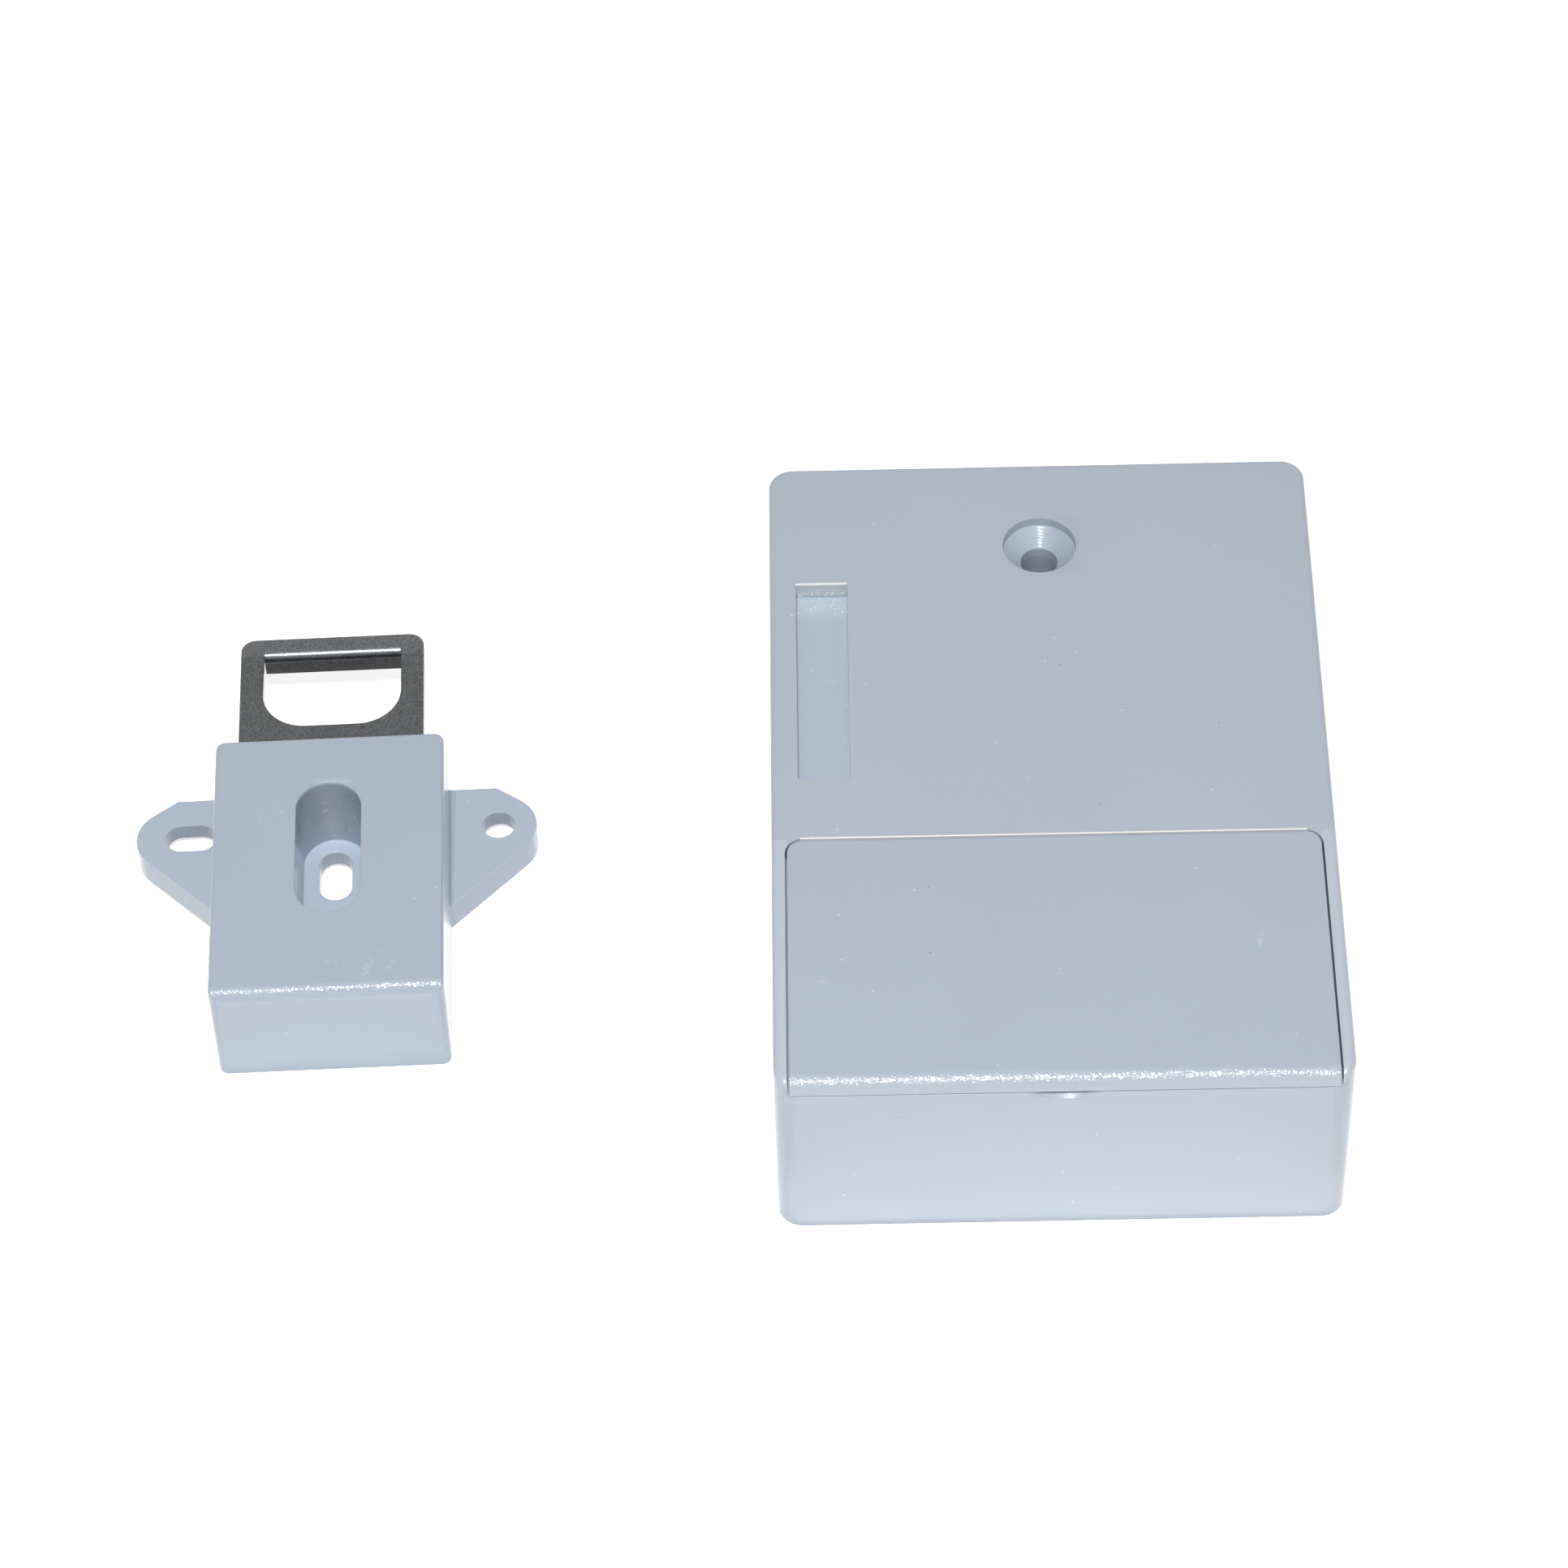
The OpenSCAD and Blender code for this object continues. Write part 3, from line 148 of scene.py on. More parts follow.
class Wiring:
    """The node tree of a material or the world, with short calls for the nodes that are used here."""

    def __init__(self, owner: bpy.types.Material | bpy.types.World) -> None:
        """Starts an empty tree.

        Args:
            owner: the material or world that it belongs to.
        """
        owner.use_nodes = True
        self.tree = owner.node_tree
        self.tree.nodes.clear()

    @cached_property
    def place(self) -> Socket:
        """The place on the surface in the object's own coordinates."""
        return self.add("ShaderNodeTexCoord").outputs["Object"]

    @cached_property
    def parts(self) -> list[Socket]:
        """The place on the surface as its X, Y and Z, in metres."""
        return list(self.add("ShaderNodeSeparateXYZ", {0: self.place}).outputs)

    def add(self, kind: str, values: dict | None = None, **settings: object) -> bpy.types.Node:
        """Adds one node.

        Args:
            kind: Blender's name for the node.
            values: numbers or sockets for its inputs, by name or place.
            settings: the node's own options.

        Returns:
            The new node.
        """
        node = configure(self.tree.nodes.new(kind), **settings)
        for key, value in (values or {}).items():
            if isinstance(value, Socket):
                self.tree.links.new(value, node.inputs[key])
            else:
                node.inputs[key].default_value = value
        return node

    def maths(self, operation: str, *terms: float | Socket) -> Socket:
        """One sum of one to three terms, such as ADD or SINE."""
        return self.add("ShaderNodeMath", dict(enumerate(terms)), operation=operation).outputs[0]

    def times(self, *terms: float | Socket) -> Socket:
        """The product of two or more terms."""
        return reduce(lambda product_so_far, term: self.maths("MULTIPLY", product_so_far, term), terms)

    def reach(self, across: Socket, up: Socket) -> Socket:
        """The straight length of two steps at right angles."""
        return self.maths("SQRT", self.maths("ADD", self.times(across, across), self.times(up, up)))

    def offsets(self, x: float, y: float) -> list[Socket]:
        """How far the surface lies from a point along X and Y, with the point in millimetres."""
        return [self.maths("SUBTRACT", part, at * MM) for part, at in zip(self.parts, (x, y))]

    def ramp(self, value: Socket, low: float, high: float, start: float = 0.0, end: float = 1.0) -> Socket:
        """Maps low..high onto start..end with soft shoulders."""
        values = {"Value": value, "From Min": low, "From Max": high, "To Min": start, "To Max": end}
        return self.add("ShaderNodeMapRange", values, interpolation_type="SMOOTHSTEP").outputs["Result"]

    def mix(self, share: Socket, first: Socket, second: Triple) -> Socket:
        """Mixes a colour with a share of a second one."""
        values = {0: share, 6: first, 7: (*second, 1.0)}
        return self.add("ShaderNodeMix", values, data_type="RGBA").outputs[2]

    def scale(self, colour: Triple | Socket, factor: Socket) -> Socket:
        """A colour times a number."""
        return self.add("ShaderNodeVectorMath", {0: colour, "Scale": factor}, operation="SCALE").outputs[0]

    def stretched(self, sizes: float | Triple) -> Socket:
        """The place counted in features of one size, or of a size along each of X, Y and Z.

        Args:
            sizes: the features' sizes in millimetres.

        Returns:
            The place for a texture.
        """
        each = sizes if isinstance(sizes, tuple) else (sizes,) * 3
        scale = [1.0 / (size * MM) for size in each]
        return self.add("ShaderNodeMapping", {"Vector": self.place, "Scale": scale}).outputs[0]

    def noise(self, sizes: float | Triple, detail: float = 2.0, rough: float = 0.5) -> Socket:
        """Soft noise from 0 to 1 with features of these sizes, in millimetres."""
        values = {"Vector": self.stretched(sizes), "Scale": 1.0, "Detail": detail, "Roughness": rough}
        return self.add("ShaderNodeTexNoise", values).outputs["Fac"]

    def specks(self, cell: float, radius: float, share: float) -> Socket:
        """Round specks scattered over the surface.

        Args:
            cell: mean distance between places that may hold one, in millimetres.
            radius: a speck's radius as a share of the cell.
            share: how many of the places hold one.

        Returns:
            1 inside a speck and 0 outside.
        """
        node = self.add("ShaderNodeTexVoronoi", {"Vector": self.stretched(cell), "Scale": 1.0})
        chance = self.add("ShaderNodeSeparateColor", {0: node.outputs["Color"]}).outputs[0]
        chosen = self.maths("GREATER_THAN", chance, 1.0 - share)
        return self.times(chosen, self.ramp(node.outputs["Distance"], radius, radius * 0.5))

    def bump(self, height: Socket, depth: float, under: Socket | None = None) -> Socket:
        """Raises the surface.

        Args:
            height: how high each place is, from 0 to 1.
            depth: the height of 1 in millimetres.
            under: the relief that it lies over, if any.

        Returns:
            The new normal.
        """
        values = {"Height": height, "Distance": depth * MM, "Strength": 1.0}
        if under is not None:
            values["Normal"] = under
        return self.add("ShaderNodeBump", values).outputs["Normal"]

    def seen(self) -> Socket:
        """Tells rays that see a surface from rays that light things.

        Returns:
            1 for rays from the camera, mirrors and glass, and 0 for the others.
        """
        path = self.add("ShaderNodeLightPath").outputs
        glossy = self.maths("MAXIMUM", path["Is Glossy Ray"], path["Is Transmission Ray"])
        return self.maths("MAXIMUM", path["Is Camera Ray"], glossy)


@dataclass(frozen=True)
class Scuff:
    """A rubbed mark: its centre, length and width in millimetres, its turn in degrees and how pale it is."""

    x: float
    y: float
    length: float
    width: float
    turn: float
    pale: float = 0.5
    tint: float = 1.45

    def mask(self, w: Wiring) -> Socket:
        """The mark's shape, broken up by fine noise.

        Args:
            w: the material's wiring.

        Returns:
            Its paleness in the middle of the mark and 0 outside it.
        """
        c, s = math.cos(math.radians(self.turn)), math.sin(math.radians(self.turn))
        dx, dy = w.offsets(self.x, self.y)
        lengthwise = w.maths("ADD", w.times(dx, c), w.times(dy, s))
        across = w.maths("SUBTRACT", w.times(dy, c), w.times(dx, s))
        u = w.maths("DIVIDE", lengthwise, self.length * MM / 2)
        v = w.maths("DIVIDE", across, self.width * MM / 2)
        broken = w.ramp(w.noise(0.3, 3.0), 0.42, 0.6)
        return w.times(w.ramp(w.reach(u, v), 1.0, 0.3), broken, self.pale)


@dataclass(frozen=True)
class Zone:
    """A box, in millimetres, where a finish's colour is multiplied, all over or in round specks of one size.
    It paints light, shade and highlights as well as crumbs and burr.
    """

    low: Triple
    high: Triple
    factor: Triple
    soft: float = 0.1
    speck_size: float = 0.0
    count: float = 0.5
    speck_radius: float = 0.42
    palest: float = 0.95

    def mask(self, w: Wiring) -> Socket:
        """The box's shape, in round specks where they have a size.

        Args:
            w: the material's wiring.

        Returns:
            1 inside the box and 0 outside it.
        """
        masks = [w.specks(self.speck_size, self.speck_radius, self.count)] if self.speck_size > 0.0 else []
        for part, low, high in zip(w.parts, self.low, self.high):
            masks.append(w.ramp(part, (low - self.soft) * MM, (low + self.soft) * MM))
            masks.append(w.ramp(part, (high + self.soft) * MM, (high - self.soft) * MM))
        return w.times(*masks)


def rim(line: Zone, glint_factor: Triple) -> tuple[Zone, Zone]:
    """An edge's painted highlight: its pale line, and pale specks of another colour factor in the same box.
    """
    return line, replace(line, factor=glint_factor, speck_size=0.25, count=0.6)


def both_sides(zone: Zone) -> tuple[Zone, Zone]:
    """A zone on the lock's right side and its like on the left.

    Args:
        zone: the zone on the right.

    Returns:
        Both zones.
    """
    low = (-zone.high[0], *zone.low[1:])
    high = (-zone.low[0], *zone.high[1:])
    return zone, replace(zone, low=low, high=high)


@dataclass(frozen=True)
class Finish:
    """A finish: its colour, gloss, colour drift, grain and rubbed marks. Sizes are in millimetres."""

    name: str
    colour: Triple
    roughness: float
    metallic: float = 0.0
    drift: float = 0.04
    drift_size: float = 6.0
    grain: float | Triple = 0.3
    grain_depth: float = 0.003
    gloss_spread: float = 0.06
    ior: float = 1.46
    coat: float = 0.0
    scuffs: tuple[Scuff, ...] = ()
    zones: tuple[Zone, ...] = ()

    def material(self) -> bpy.types.Material:
        """Gives the finish as a material, made once and then shared.

        Returns:
            The material.
        """
        made = bpy.data.materials.get(self.name)
        if made is None:
            made = bpy.data.materials.new(self.name)
            w = Wiring(made)
            values = {"Base Color": self.tint(w), "Roughness": self.gloss(w), "Normal": self.relief(w)}
            values |= {"Metallic": self.metallic, "IOR": self.ior, "Coat Weight": self.coat}
            shader = w.add("ShaderNodeBsdfPrincipled", values | self.extras(w))
            w.add("ShaderNodeOutputMaterial", {"Surface": shader.outputs[0]})
        return made

    def extras(self, w: Wiring) -> dict:
        """Further shader inputs that only some finishes have."""
        return {}

    def tint(self, w: Wiring) -> Socket:
        """The colour, drifting slowly and with the grain, under the rubbed marks and the zones, some of which
        paint light, shade and highlights.

        Args:
            w: the material's wiring.

        Returns:
            The colour.
        """
        slow = w.times(w.noise(self.drift_size, 3.0), 0.7)
        fine = w.times(w.noise(self.grain, 1.0), 0.3)
        level = w.ramp(w.maths("ADD", slow, fine), 0.25, 0.75, 1.0 - self.drift, 1.0 + self.drift)
        tinted = w.scale(self.colour, level)
        for scuff in self.scuffs:
            tinted = w.mix(scuff.mask(w), tinted, shade(self.colour, scuff.tint))
        for zone in self.zones:
            tinted = w.mix(zone.mask(w), tinted, shade(self.colour, zone.factor, zone.palest))
        return tinted

    def gloss(self, w: Wiring) -> Socket:
        """The roughness, a little uneven."""
        patch = w.noise(self.drift_size * 0.6, 4.0)
        return w.ramp(patch, 0.3, 0.7, self.roughness - self.gloss_spread, self.roughness + self.gloss_spread)

    def relief(self, w: Wiring) -> Socket:
        """The grain's relief over a faint waviness."""
        wave = w.bump(w.noise(9.0, 1.0), 0.01)
        return w.bump(w.noise(self.grain, 2.0), self.grain_depth, wave)


@dataclass(frozen=True)
class Moulding(Finish):
    """Spark-eroded moulding under a thin clear skin, with stray specks.

    A speck is its cell, its radius as a share of the cell and how far it covers the colour.
    The skin's highlight breaks up on the front rounding, which lies before front's Y and over its Z.
    A countersink that was turned has its X, Y and radius in turned.
    """

    drift: float = 0.012
    drift_size: float = 25.0
    gloss_spread: float = 0.03
    pale_speck: Triple = (1.3, 0.11, 0.55)
    pale_share: float = 0.05
    dark_speck: Triple = (1.9, 0.08, 0.6)
    dark_share: float = 0.03
    speck_white: Triple = (0.93, 0.95, 0.97)
    sparkle: float = 0.3
    sparkle_depth: float = 0.07
    sparkle_elsewhere: float = 0.06
    skin: float = 0.2
    front: tuple[float, float] = (-60.0, 0.0)
    turned: Triple | None = None
    ring: float = 0.3

    def tint(self, w: Wiring) -> Socket:
        """The drifting colour with the specks in it.

        Args:
            w: the material's wiring.

        Returns:
            The colour.
        """
        tinted = super().tint(w)
        kinds = (
            (self.pale_speck, self.pale_share, self.speck_white),
            (self.dark_speck, self.dark_share, shade(self.colour, 0.35)),
        )
        for (cell, radius, cover), share, colour in kinds:
            tinted = w.mix(w.times(w.specks(cell, radius, share), cover), tinted, colour)
        return tinted

    def relief(self, w: Wiring) -> Socket:
        """Coarse and fine grain, with turning rings in the cone where there is one.

        Args:
            w: the material's wiring.

        Returns:
            The normal.
        """
        grain = self.grain if isinstance(self.grain, tuple) else (self.grain,) * 3
        under = w.bump(w.noise(14.0, 1.0), 0.012)
        coarse = w.bump(w.noise(tuple(g * 3.2 for g in grain), 1.0), self.grain_depth * 1.6, under)
        fine = w.bump(w.noise(self.grain, 1.0), self.grain_depth, coarse)
        return fine if self.turned is None else self.rings(w, 0.003, fine)

    def cone(self, w: Wiring) -> tuple[Socket, Socket]:
        """Where the countersink's cone is.

        Args:
            w: the material's wiring.

        Returns:
            The distance from its axis, and 1 inside it and 0 outside it.
        """
        x, y, radius = self.turned
        reach = w.reach(*w.offsets(x, y))
        return reach, w.ramp(reach, radius * MM, (radius - 0.15) * MM)

    def rings(self, w: Wiring, depth: float, under: Socket) -> Socket:
        """The cone's turning marks over the grain.

        Args:
            w: the material's wiring.
            depth: how deep they are in millimetres.
            under: the relief that they lie over.

        Returns:
            The normal.
        """
        reach, inside = self.cone(w)
        wave = w.maths("SINE", w.times(reach, TURN / (self.ring * MM)))
        return w.bump(w.times(wave, inside), depth, under)

    def extras(self, w: Wiring) -> dict:
        """The clear skin.

        Args:
            w: the material's wiring.

        Returns:
            The coat's inputs.
        """
        _, y, z = w.parts
        before, over = (at * MM for at in self.front)
        rounding = w.times(w.ramp(y, before + 0.8 * MM, before - 0.8 * MM),
                           w.ramp(z, over - 0.3 * MM, over + 0.3 * MM))
        near = w.ramp(rounding, 0.0, 1.0, self.sparkle_elsewhere, 1.0)
        if self.turned is not None:
            near = w.times(near, w.maths("SUBTRACT", 1.0, self.cone(w)[1]))
        sparkle = w.bump(w.times(w.noise(self.sparkle, 0.0), near), self.sparkle_depth)
        if self.turned is not None:
            sparkle = self.rings(w, 0.01, sparkle)
        skin = {"Coat Weight": 1.0, "Coat Roughness": self.skin, "Coat IOR": self.ior, "Coat Normal": sparkle}
        return skin | {"Specular IOR Level": 0.1}


@dataclass(frozen=True)
class Metal(Finish):
    """Sheet or turned metal: drawn lines, fine scratches and darker stains."""

    metallic: float = 1.0
    drift: float = 0.08
    lines: Triple = (0.12, 3.0, 3.0)
    line_depth: float = 0.0012
    scratch: float = 0.25
    speckle: float = 0.0

    def tint(self, w: Wiring) -> Socket:
        """The metal's colour with pale scratches, a faint stain and a speckle where it has one.

        Args:
            w: the material's wiring.

        Returns:
            The colour.
        """
        stain = w.ramp(w.noise(4.0, 5.0, 0.6), 0.56, 0.75)
        tinted = w.mix(w.times(stain, 0.3), super().tint(w), shade(self.colour, 0.6))
        if self.speckle > 0.0:
            fine = w.noise(0.22, 3.0, 0.7)
            tinted = w.scale(tinted, w.ramp(fine, 0.3, 0.7, 1.0 - self.speckle, 1.0 + self.speckle))
        scratches = w.ramp(w.noise(tuple(s * 0.5 for s in self.lines), 2.0), 0.66, 0.74)
        return w.mix(w.times(scratches, self.scratch), tinted, shade(self.colour, 2.2))

    def relief(self, w: Wiring) -> Socket:
        """Drawn lines over the grain."""
        grain = w.bump(w.noise(self.grain, 2.0), self.grain_depth)
        return w.bump(w.noise(self.lines, 2.0), self.line_depth, grain)


@dataclass(frozen=True)
class Laminate(Finish):
    """Solder mask over glass cloth, whose weave shows as faint squares."""

    weave: float = 0.6

    def relief(self, w: Wiring) -> Socket:
        """The cloth's squares under the mask."""
        threads = [w.maths("SINE", w.times(part, TURN / (self.weave * MM))) for part in w.parts[:2]]
        return w.bump(w.times(*threads), 0.004, super().relief(w))


@dataclass(frozen=True)
class Wrapper(Finish):
    """A cell's shrunk film, with a second colour from one place along X towards its plus end."""

    band: Triple = (0.6, 0.3, 0.1)
    band_at: float = 0.0
    plus: Side = Side.HIGH
    line: Triple = (0.86, 0.86, 0.84)

    def tint(self, w: Wiring) -> Socket:
        """The film's two colours with a thin pale line between them.

        Args:
            w: the material's wiring.

        Returns:
            The colour.
        """
        past = w.times(w.maths("SUBTRACT", w.parts[0], self.band_at * MM), self.plus.value / MM)
        tinted = w.mix(w.ramp(past, -0.04, 0.04), super().tint(w), self.band)
        return w.mix(w.times(w.ramp(past, -0.7, -0.62), w.ramp(past, 0.0, -0.08)), tinted, self.line)


def box_mm(node: str) -> tuple[Vector, Vector]:
    """The lowest and highest corner of a CAD node, in millimetres."""
    low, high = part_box(node)
    return low / MM, high / MM


# Edges and centres in millimetres that the zones are counted from.
LOCK_LOW, LOCK_HIGH = box_mm("front_housing")
FRONT, SIDE, FACE = LOCK_LOW.y, LOCK_HIGH.x, LOCK_HIGH.z
STRIKE_TOP = box_mm("strike_housing")[1].z
SLOT_LEFT, SLOT_RIGHT, SLOT_END = -30.7, -24.3, 29.1
DOOR_RIM, DOOR_RIM_HALF = -12.0, 30.5
SINK_X, SINK_Y, SINK_RADIUS = 0.0, 35.0, 4.75
POCKET_X, POCKET_END, STRIKE_FLOOR = -89.0, 9.0, 4.2

DOOR_SCUFFS = (
    Scuff(-25.6, -30.4, 2.6, 0.5, 12.0, 0.5),
    Scuff(-28.5, -33.6, 3.2, 0.6, -8.0, 0.45),
    Scuff(0.4, -33.2, 0.9, 0.7, 0.0, 0.5),
    Scuff(23.8, -28.6, 4.2, 1.1, 74.0, 0.4),
)
EJECTOR_SCUFFS = (
    Scuff(-28.4, 27.2, 3.4, 0.9, 6.0, 0.8),
    Scuff(-25.6, 26.2, 1.8, 0.6, -20.0, 0.6),
    Scuff(-27.0, 15.0, 5.0, 0.25, 8.0, 0.5),
)
HOUSING_SCUFFS = (Scuff(-5.0, 13.4, 1.6, 0.3, 4.0, 0.7),)
# Rubbed smears on the strike's top, painted paler than the moulding: real marks whose sheen in the light is
# painted in as a highlight.
STRIKE_SMEARS_AND_SHEEN = (
    Scuff(-83.4, -20.8, 4.5, 1.6, 70.0, 0.42),
    Scuff(-80.6, -20.4, 3.0, 0.9, 60.0, 0.42),
    Scuff(-88.0, -19.6, 1.6, 0.5, 20.0, 0.45),
)
# Painted light: the slot's far wall made paler and warmer, as the lamp lights it.
SLOT_WALL_LIGHT = Zone(
    (SLOT_LEFT - 0.3, SLOT_END, FACE - 2.6), (SLOT_RIGHT + 0.3, SLOT_END + 0.4, FACE - 0.3),
    (1.22, 1.14, 1.04)
)
SLOT_BURR = replace(
    SLOT_WALL_LIGHT, high=(SLOT_RIGHT + 0.3, SLOT_END + 0.4, FACE - 1.5),
    factor=(2.4, 2.2, 1.9), speck_size=0.42, count=0.6
)
# Painted highlight: a pale line along the slot's far rim, where the edge catches the lamp.
SLOT_RIM_HIGHLIGHT = Zone(
    (SLOT_LEFT, SLOT_END - 0.1, FACE - 0.25), (SLOT_RIGHT, SLOT_END + 0.22, FACE + 0.2),
    (2.1, 1.84, 1.58), 0.04
)
# Painted highlight: a pale line along the far rim of the door's recess.
RECESS_RIM_HIGHLIGHT = Zone(
    (-DOOR_RIM_HALF, DOOR_RIM, FACE - 0.25), (DOOR_RIM_HALF, DOOR_RIM + 0.25, FACE + 0.2),
    (2.1, 1.8, 1.52), 0.04
)
SINK_SHADE = Zone(
    (SINK_X + 1.4, SINK_Y - 5.0, FACE - 4.4), (SINK_X + 5.2, SINK_Y + 5.0, FACE - 0.1), (0.9, 0.91, 0.91), 0.8
)
# Painted light: the housing's rails beside the door made paler.
RAIL_LIGHT = Zone((SIDE - 1.8, FRONT - 1.0, FACE - 0.8), (SIDE + 0.2, DOOR_RIM, FACE + 0.4), (1.13, 1.12, 1.1))
RAIL_BURR = Zone(
    (SIDE - 2.1, FRONT - 1.0, FACE - 1.6), (SIDE - 1.5, DOOR_RIM, FACE - 0.2),
    (2.0, 1.8, 1.6), speck_size=0.5, count=0.35
)
BORE_SHADE = Zone(
    (SINK_X - 2.7, SINK_Y - 2.7, 0.0), (SINK_X + 2.7, SINK_Y + 2.7, FACE - 4.6), (0.82, 0.84, 0.86)
)
# The housing's zones: painted light, highlights and shade, with real burr.
HOUSING_LIGHT_SHADE_AND_BURR = (
    SLOT_WALL_LIGHT,
    *rim(SLOT_RIM_HIGHLIGHT, (2.6, 2.3, 1.9)),
    *rim(RECESS_RIM_HIGHLIGHT, (2.4, 2.1, 1.8)),
    SLOT_BURR,
    SINK_SHADE,
    *both_sides(RAIL_LIGHT),
    *both_sides(RAIL_BURR),
    BORE_SHADE,
)
DOOR_LIGHT_AND_SHADE = (
    # Painted shade along the door's far edge, which slopes away from the lamp.
    Zone(
        (-DOOR_RIM_HALF - 0.5, DOOR_RIM - 0.4, FACE - 0.4), (DOOR_RIM_HALF + 0.5, DOOR_RIM, FACE + 0.2),
        (0.84, 0.85, 0.86), 0.12
    ),
    # Painted light on the front rounding below its highlight.
    Zone(
        (1.0 - SIDE, FRONT - 0.2, FACE - 2.2), (SIDE - 1.0, FRONT + 0.8, FACE - 0.4),
        (1.08, 1.06, 1.035), 0.4
    ),
    # Painted highlight: pale specks in the band where the front rounding catches the lamp.
    Zone(
        (1.0 - SIDE, FRONT + 0.5, FACE - 0.65), (SIDE - 1.0, FRONT + 1.4, FACE - 0.1),
        (2.1, 1.9, 1.7), 0.12, 0.24
    ),
)
EJECTOR_LIGHT_AND_CRUMBS = (
    # Painted light on the far end of the plate's floor in the slot.
    Zone(
        (SLOT_LEFT - 0.3, SLOT_END - 3.1, FACE - 3.0), (SLOT_RIGHT + 0.3, SLOT_END + 0.9, FACE - 2.0),
        (1.22, 1.19, 1.14), 1.2
    ),
    # Crumbs at the slot's far end.
    Zone(
        (SLOT_LEFT - 0.3, SLOT_END - 2.7, FACE - 3.0), (SLOT_RIGHT + 0.3, SLOT_END + 0.3, FACE - 2.0),
        (1.8, 1.6, 1.4), speck_size=0.28, count=0.25
    ),
)
STRIKE_LIGHT_AND_MARKS = (
    # Painted light on the pocket's floor.
    Zone(
        (POCKET_X - 6.0, -POCKET_END - 3.0, STRIKE_FLOOR - 0.2),
        (POCKET_X + 6.0, POCKET_END + 3.0, STRIKE_FLOOR + 0.2), (1.3, 1.3, 1.3), 0.05
    ),
    # Painted shade on the pocket's walls.
    Zone(
        (POCKET_X - 6.0, -POCKET_END, STRIKE_FLOOR + 0.3),
        (POCKET_X + 6.0, POCKET_END, STRIKE_TOP - 0.5), (0.84, 0.84, 0.85)
    ),
    # Painted highlight: a pale strip on the wall just under the pocket's far rim.
    Zone(
        (POCKET_X - 4.2, POCKET_END - 3.8, STRIKE_TOP - 0.35),
        (POCKET_X + 4.4, POCKET_END - 0.1, STRIKE_TOP - 0.1), (1.4, 1.34, 1.28), 0.05
    ),
    # Painted highlight: a soft pale patch over the pocket's far rim.
    Zone(
        (POCKET_X - 2.2, POCKET_END - 0.5, STRIKE_TOP - 0.2),
        (POCKET_X + 2.6, POCKET_END + 0.2, STRIKE_TOP + 0.2), (1.12, 1.11, 1.1), 0.3
    ),
    # Painted highlight: pale specks along the pocket's far rim.
    Zone(
        (POCKET_X - 1.9, POCKET_END - 0.5, STRIKE_TOP - 0.2),
        (POCKET_X + 2.3, POCKET_END + 0.2, STRIKE_TOP + 0.2), (1.6, 1.5, 1.4), 0.25, 0.22, 0.35
    ),
    # Painted highlight: pale specks along the strike's front rounding.
    Zone(
        (POCKET_X - 15.0, -26.0, STRIKE_TOP - 0.5),
        (POCKET_X + 15.0, -22.6, STRIKE_TOP - 0.12), (1.5, 1.42, 1.34), 0.06, 0.24, 0.4
    ),
    # Pale mottling on the pocket's far wall, like stress marks.
    Zone((POCKET_X - 2.0, 0.0, 5.0), (POCKET_X + 3.0, POCKET_END, 12.5), (1.1, 1.1, 1.1), 0.6, 0.9, 0.35),
    # Painted light on the tops of the two ears.
    Zone((-117.0, -30.0, STRIKE_FLOOR - 0.3), (-103.4, 20.0, STRIKE_FLOOR + 0.3), (1.09, 1.08, 1.08)),
    Zone((-74.4, -30.0, STRIKE_FLOOR - 0.3), (-60.0, 20.0, STRIKE_FLOOR + 0.3), (1.1, 1.09, 1.09)),
)
STEEL_LIGHT_AND_SHADE = (
    # Painted light on the plate's far bar.
    Zone((-105.0, 31.2, 13.6), (-74.0, 36.0, 14.2), (1.25, 1.26, 1.28), 0.2),
    # Painted shade on the folded lip under the plate.
    Zone((-105.0, 28.0, 10.0), (-74.0, 36.0, 12.7), (0.62, 0.6, 0.6)),
)
HOUSING = Moulding(
    "housing grey", (0.415, 0.478, 0.552), 0.42, scuffs=HOUSING_SCUFFS, zones=HOUSING_LIGHT_SHADE_AND_BURR,
    turned=(SINK_X, SINK_Y, SINK_RADIUS)
)
DOOR = Moulding(
    "battery door grey", (0.405, 0.469, 0.545), 0.42, scuffs=DOOR_SCUFFS, zones=DOOR_LIGHT_AND_SHADE,
    front=(FRONT + 2.4, FACE - 2.6)
)
EJECTOR_GREY = Moulding(
    "ejector grey", (0.437, 0.508, 0.605), 0.38, scuffs=EJECTOR_SCUFFS, zones=EJECTOR_LIGHT_AND_CRUMBS, pale_share=0.1
)
STRIKE_GREY = Moulding(
    "strike grey", (0.40, 0.465, 0.55), 0.42, scuffs=STRIKE_SMEARS_AND_SHEEN, zones=STRIKE_LIGHT_AND_MARKS, front=(-21.4, 14.0)
)
BUTTON_GREY = Moulding("set button grey", (0.42, 0.49, 0.57), 0.45)
STEEL = Metal(
    "dark satin steel", (0.118, 0.121, 0.124), 0.26, lines=(0.15, 4.0, 0.15), scratch=0.12, speckle=0.35,
    zones=STEEL_LIGHT_AND_SHADE
)
ZINC = Metal("zinc plate on steel", (0.60, 0.61, 0.60), 0.32)
SCREW_ZINC = Metal("zinc plated screw", (0.62, 0.63, 0.62), 0.26, lines=(0.4, 0.4, 0.1))
NICKEL = Metal("bright nickel", (0.66, 0.64, 0.60), 0.2, lines=(0.1, 0.1, 1.5))
SPRING_STEEL = Metal("spring wire", (0.45, 0.45, 0.46), 0.28, lines=(0.3, 0.3, 0.3))
BRASS = Metal("gearbox brass", (0.72, 0.55, 0.28), 0.3, lines=(3.0, 0.12, 0.12))
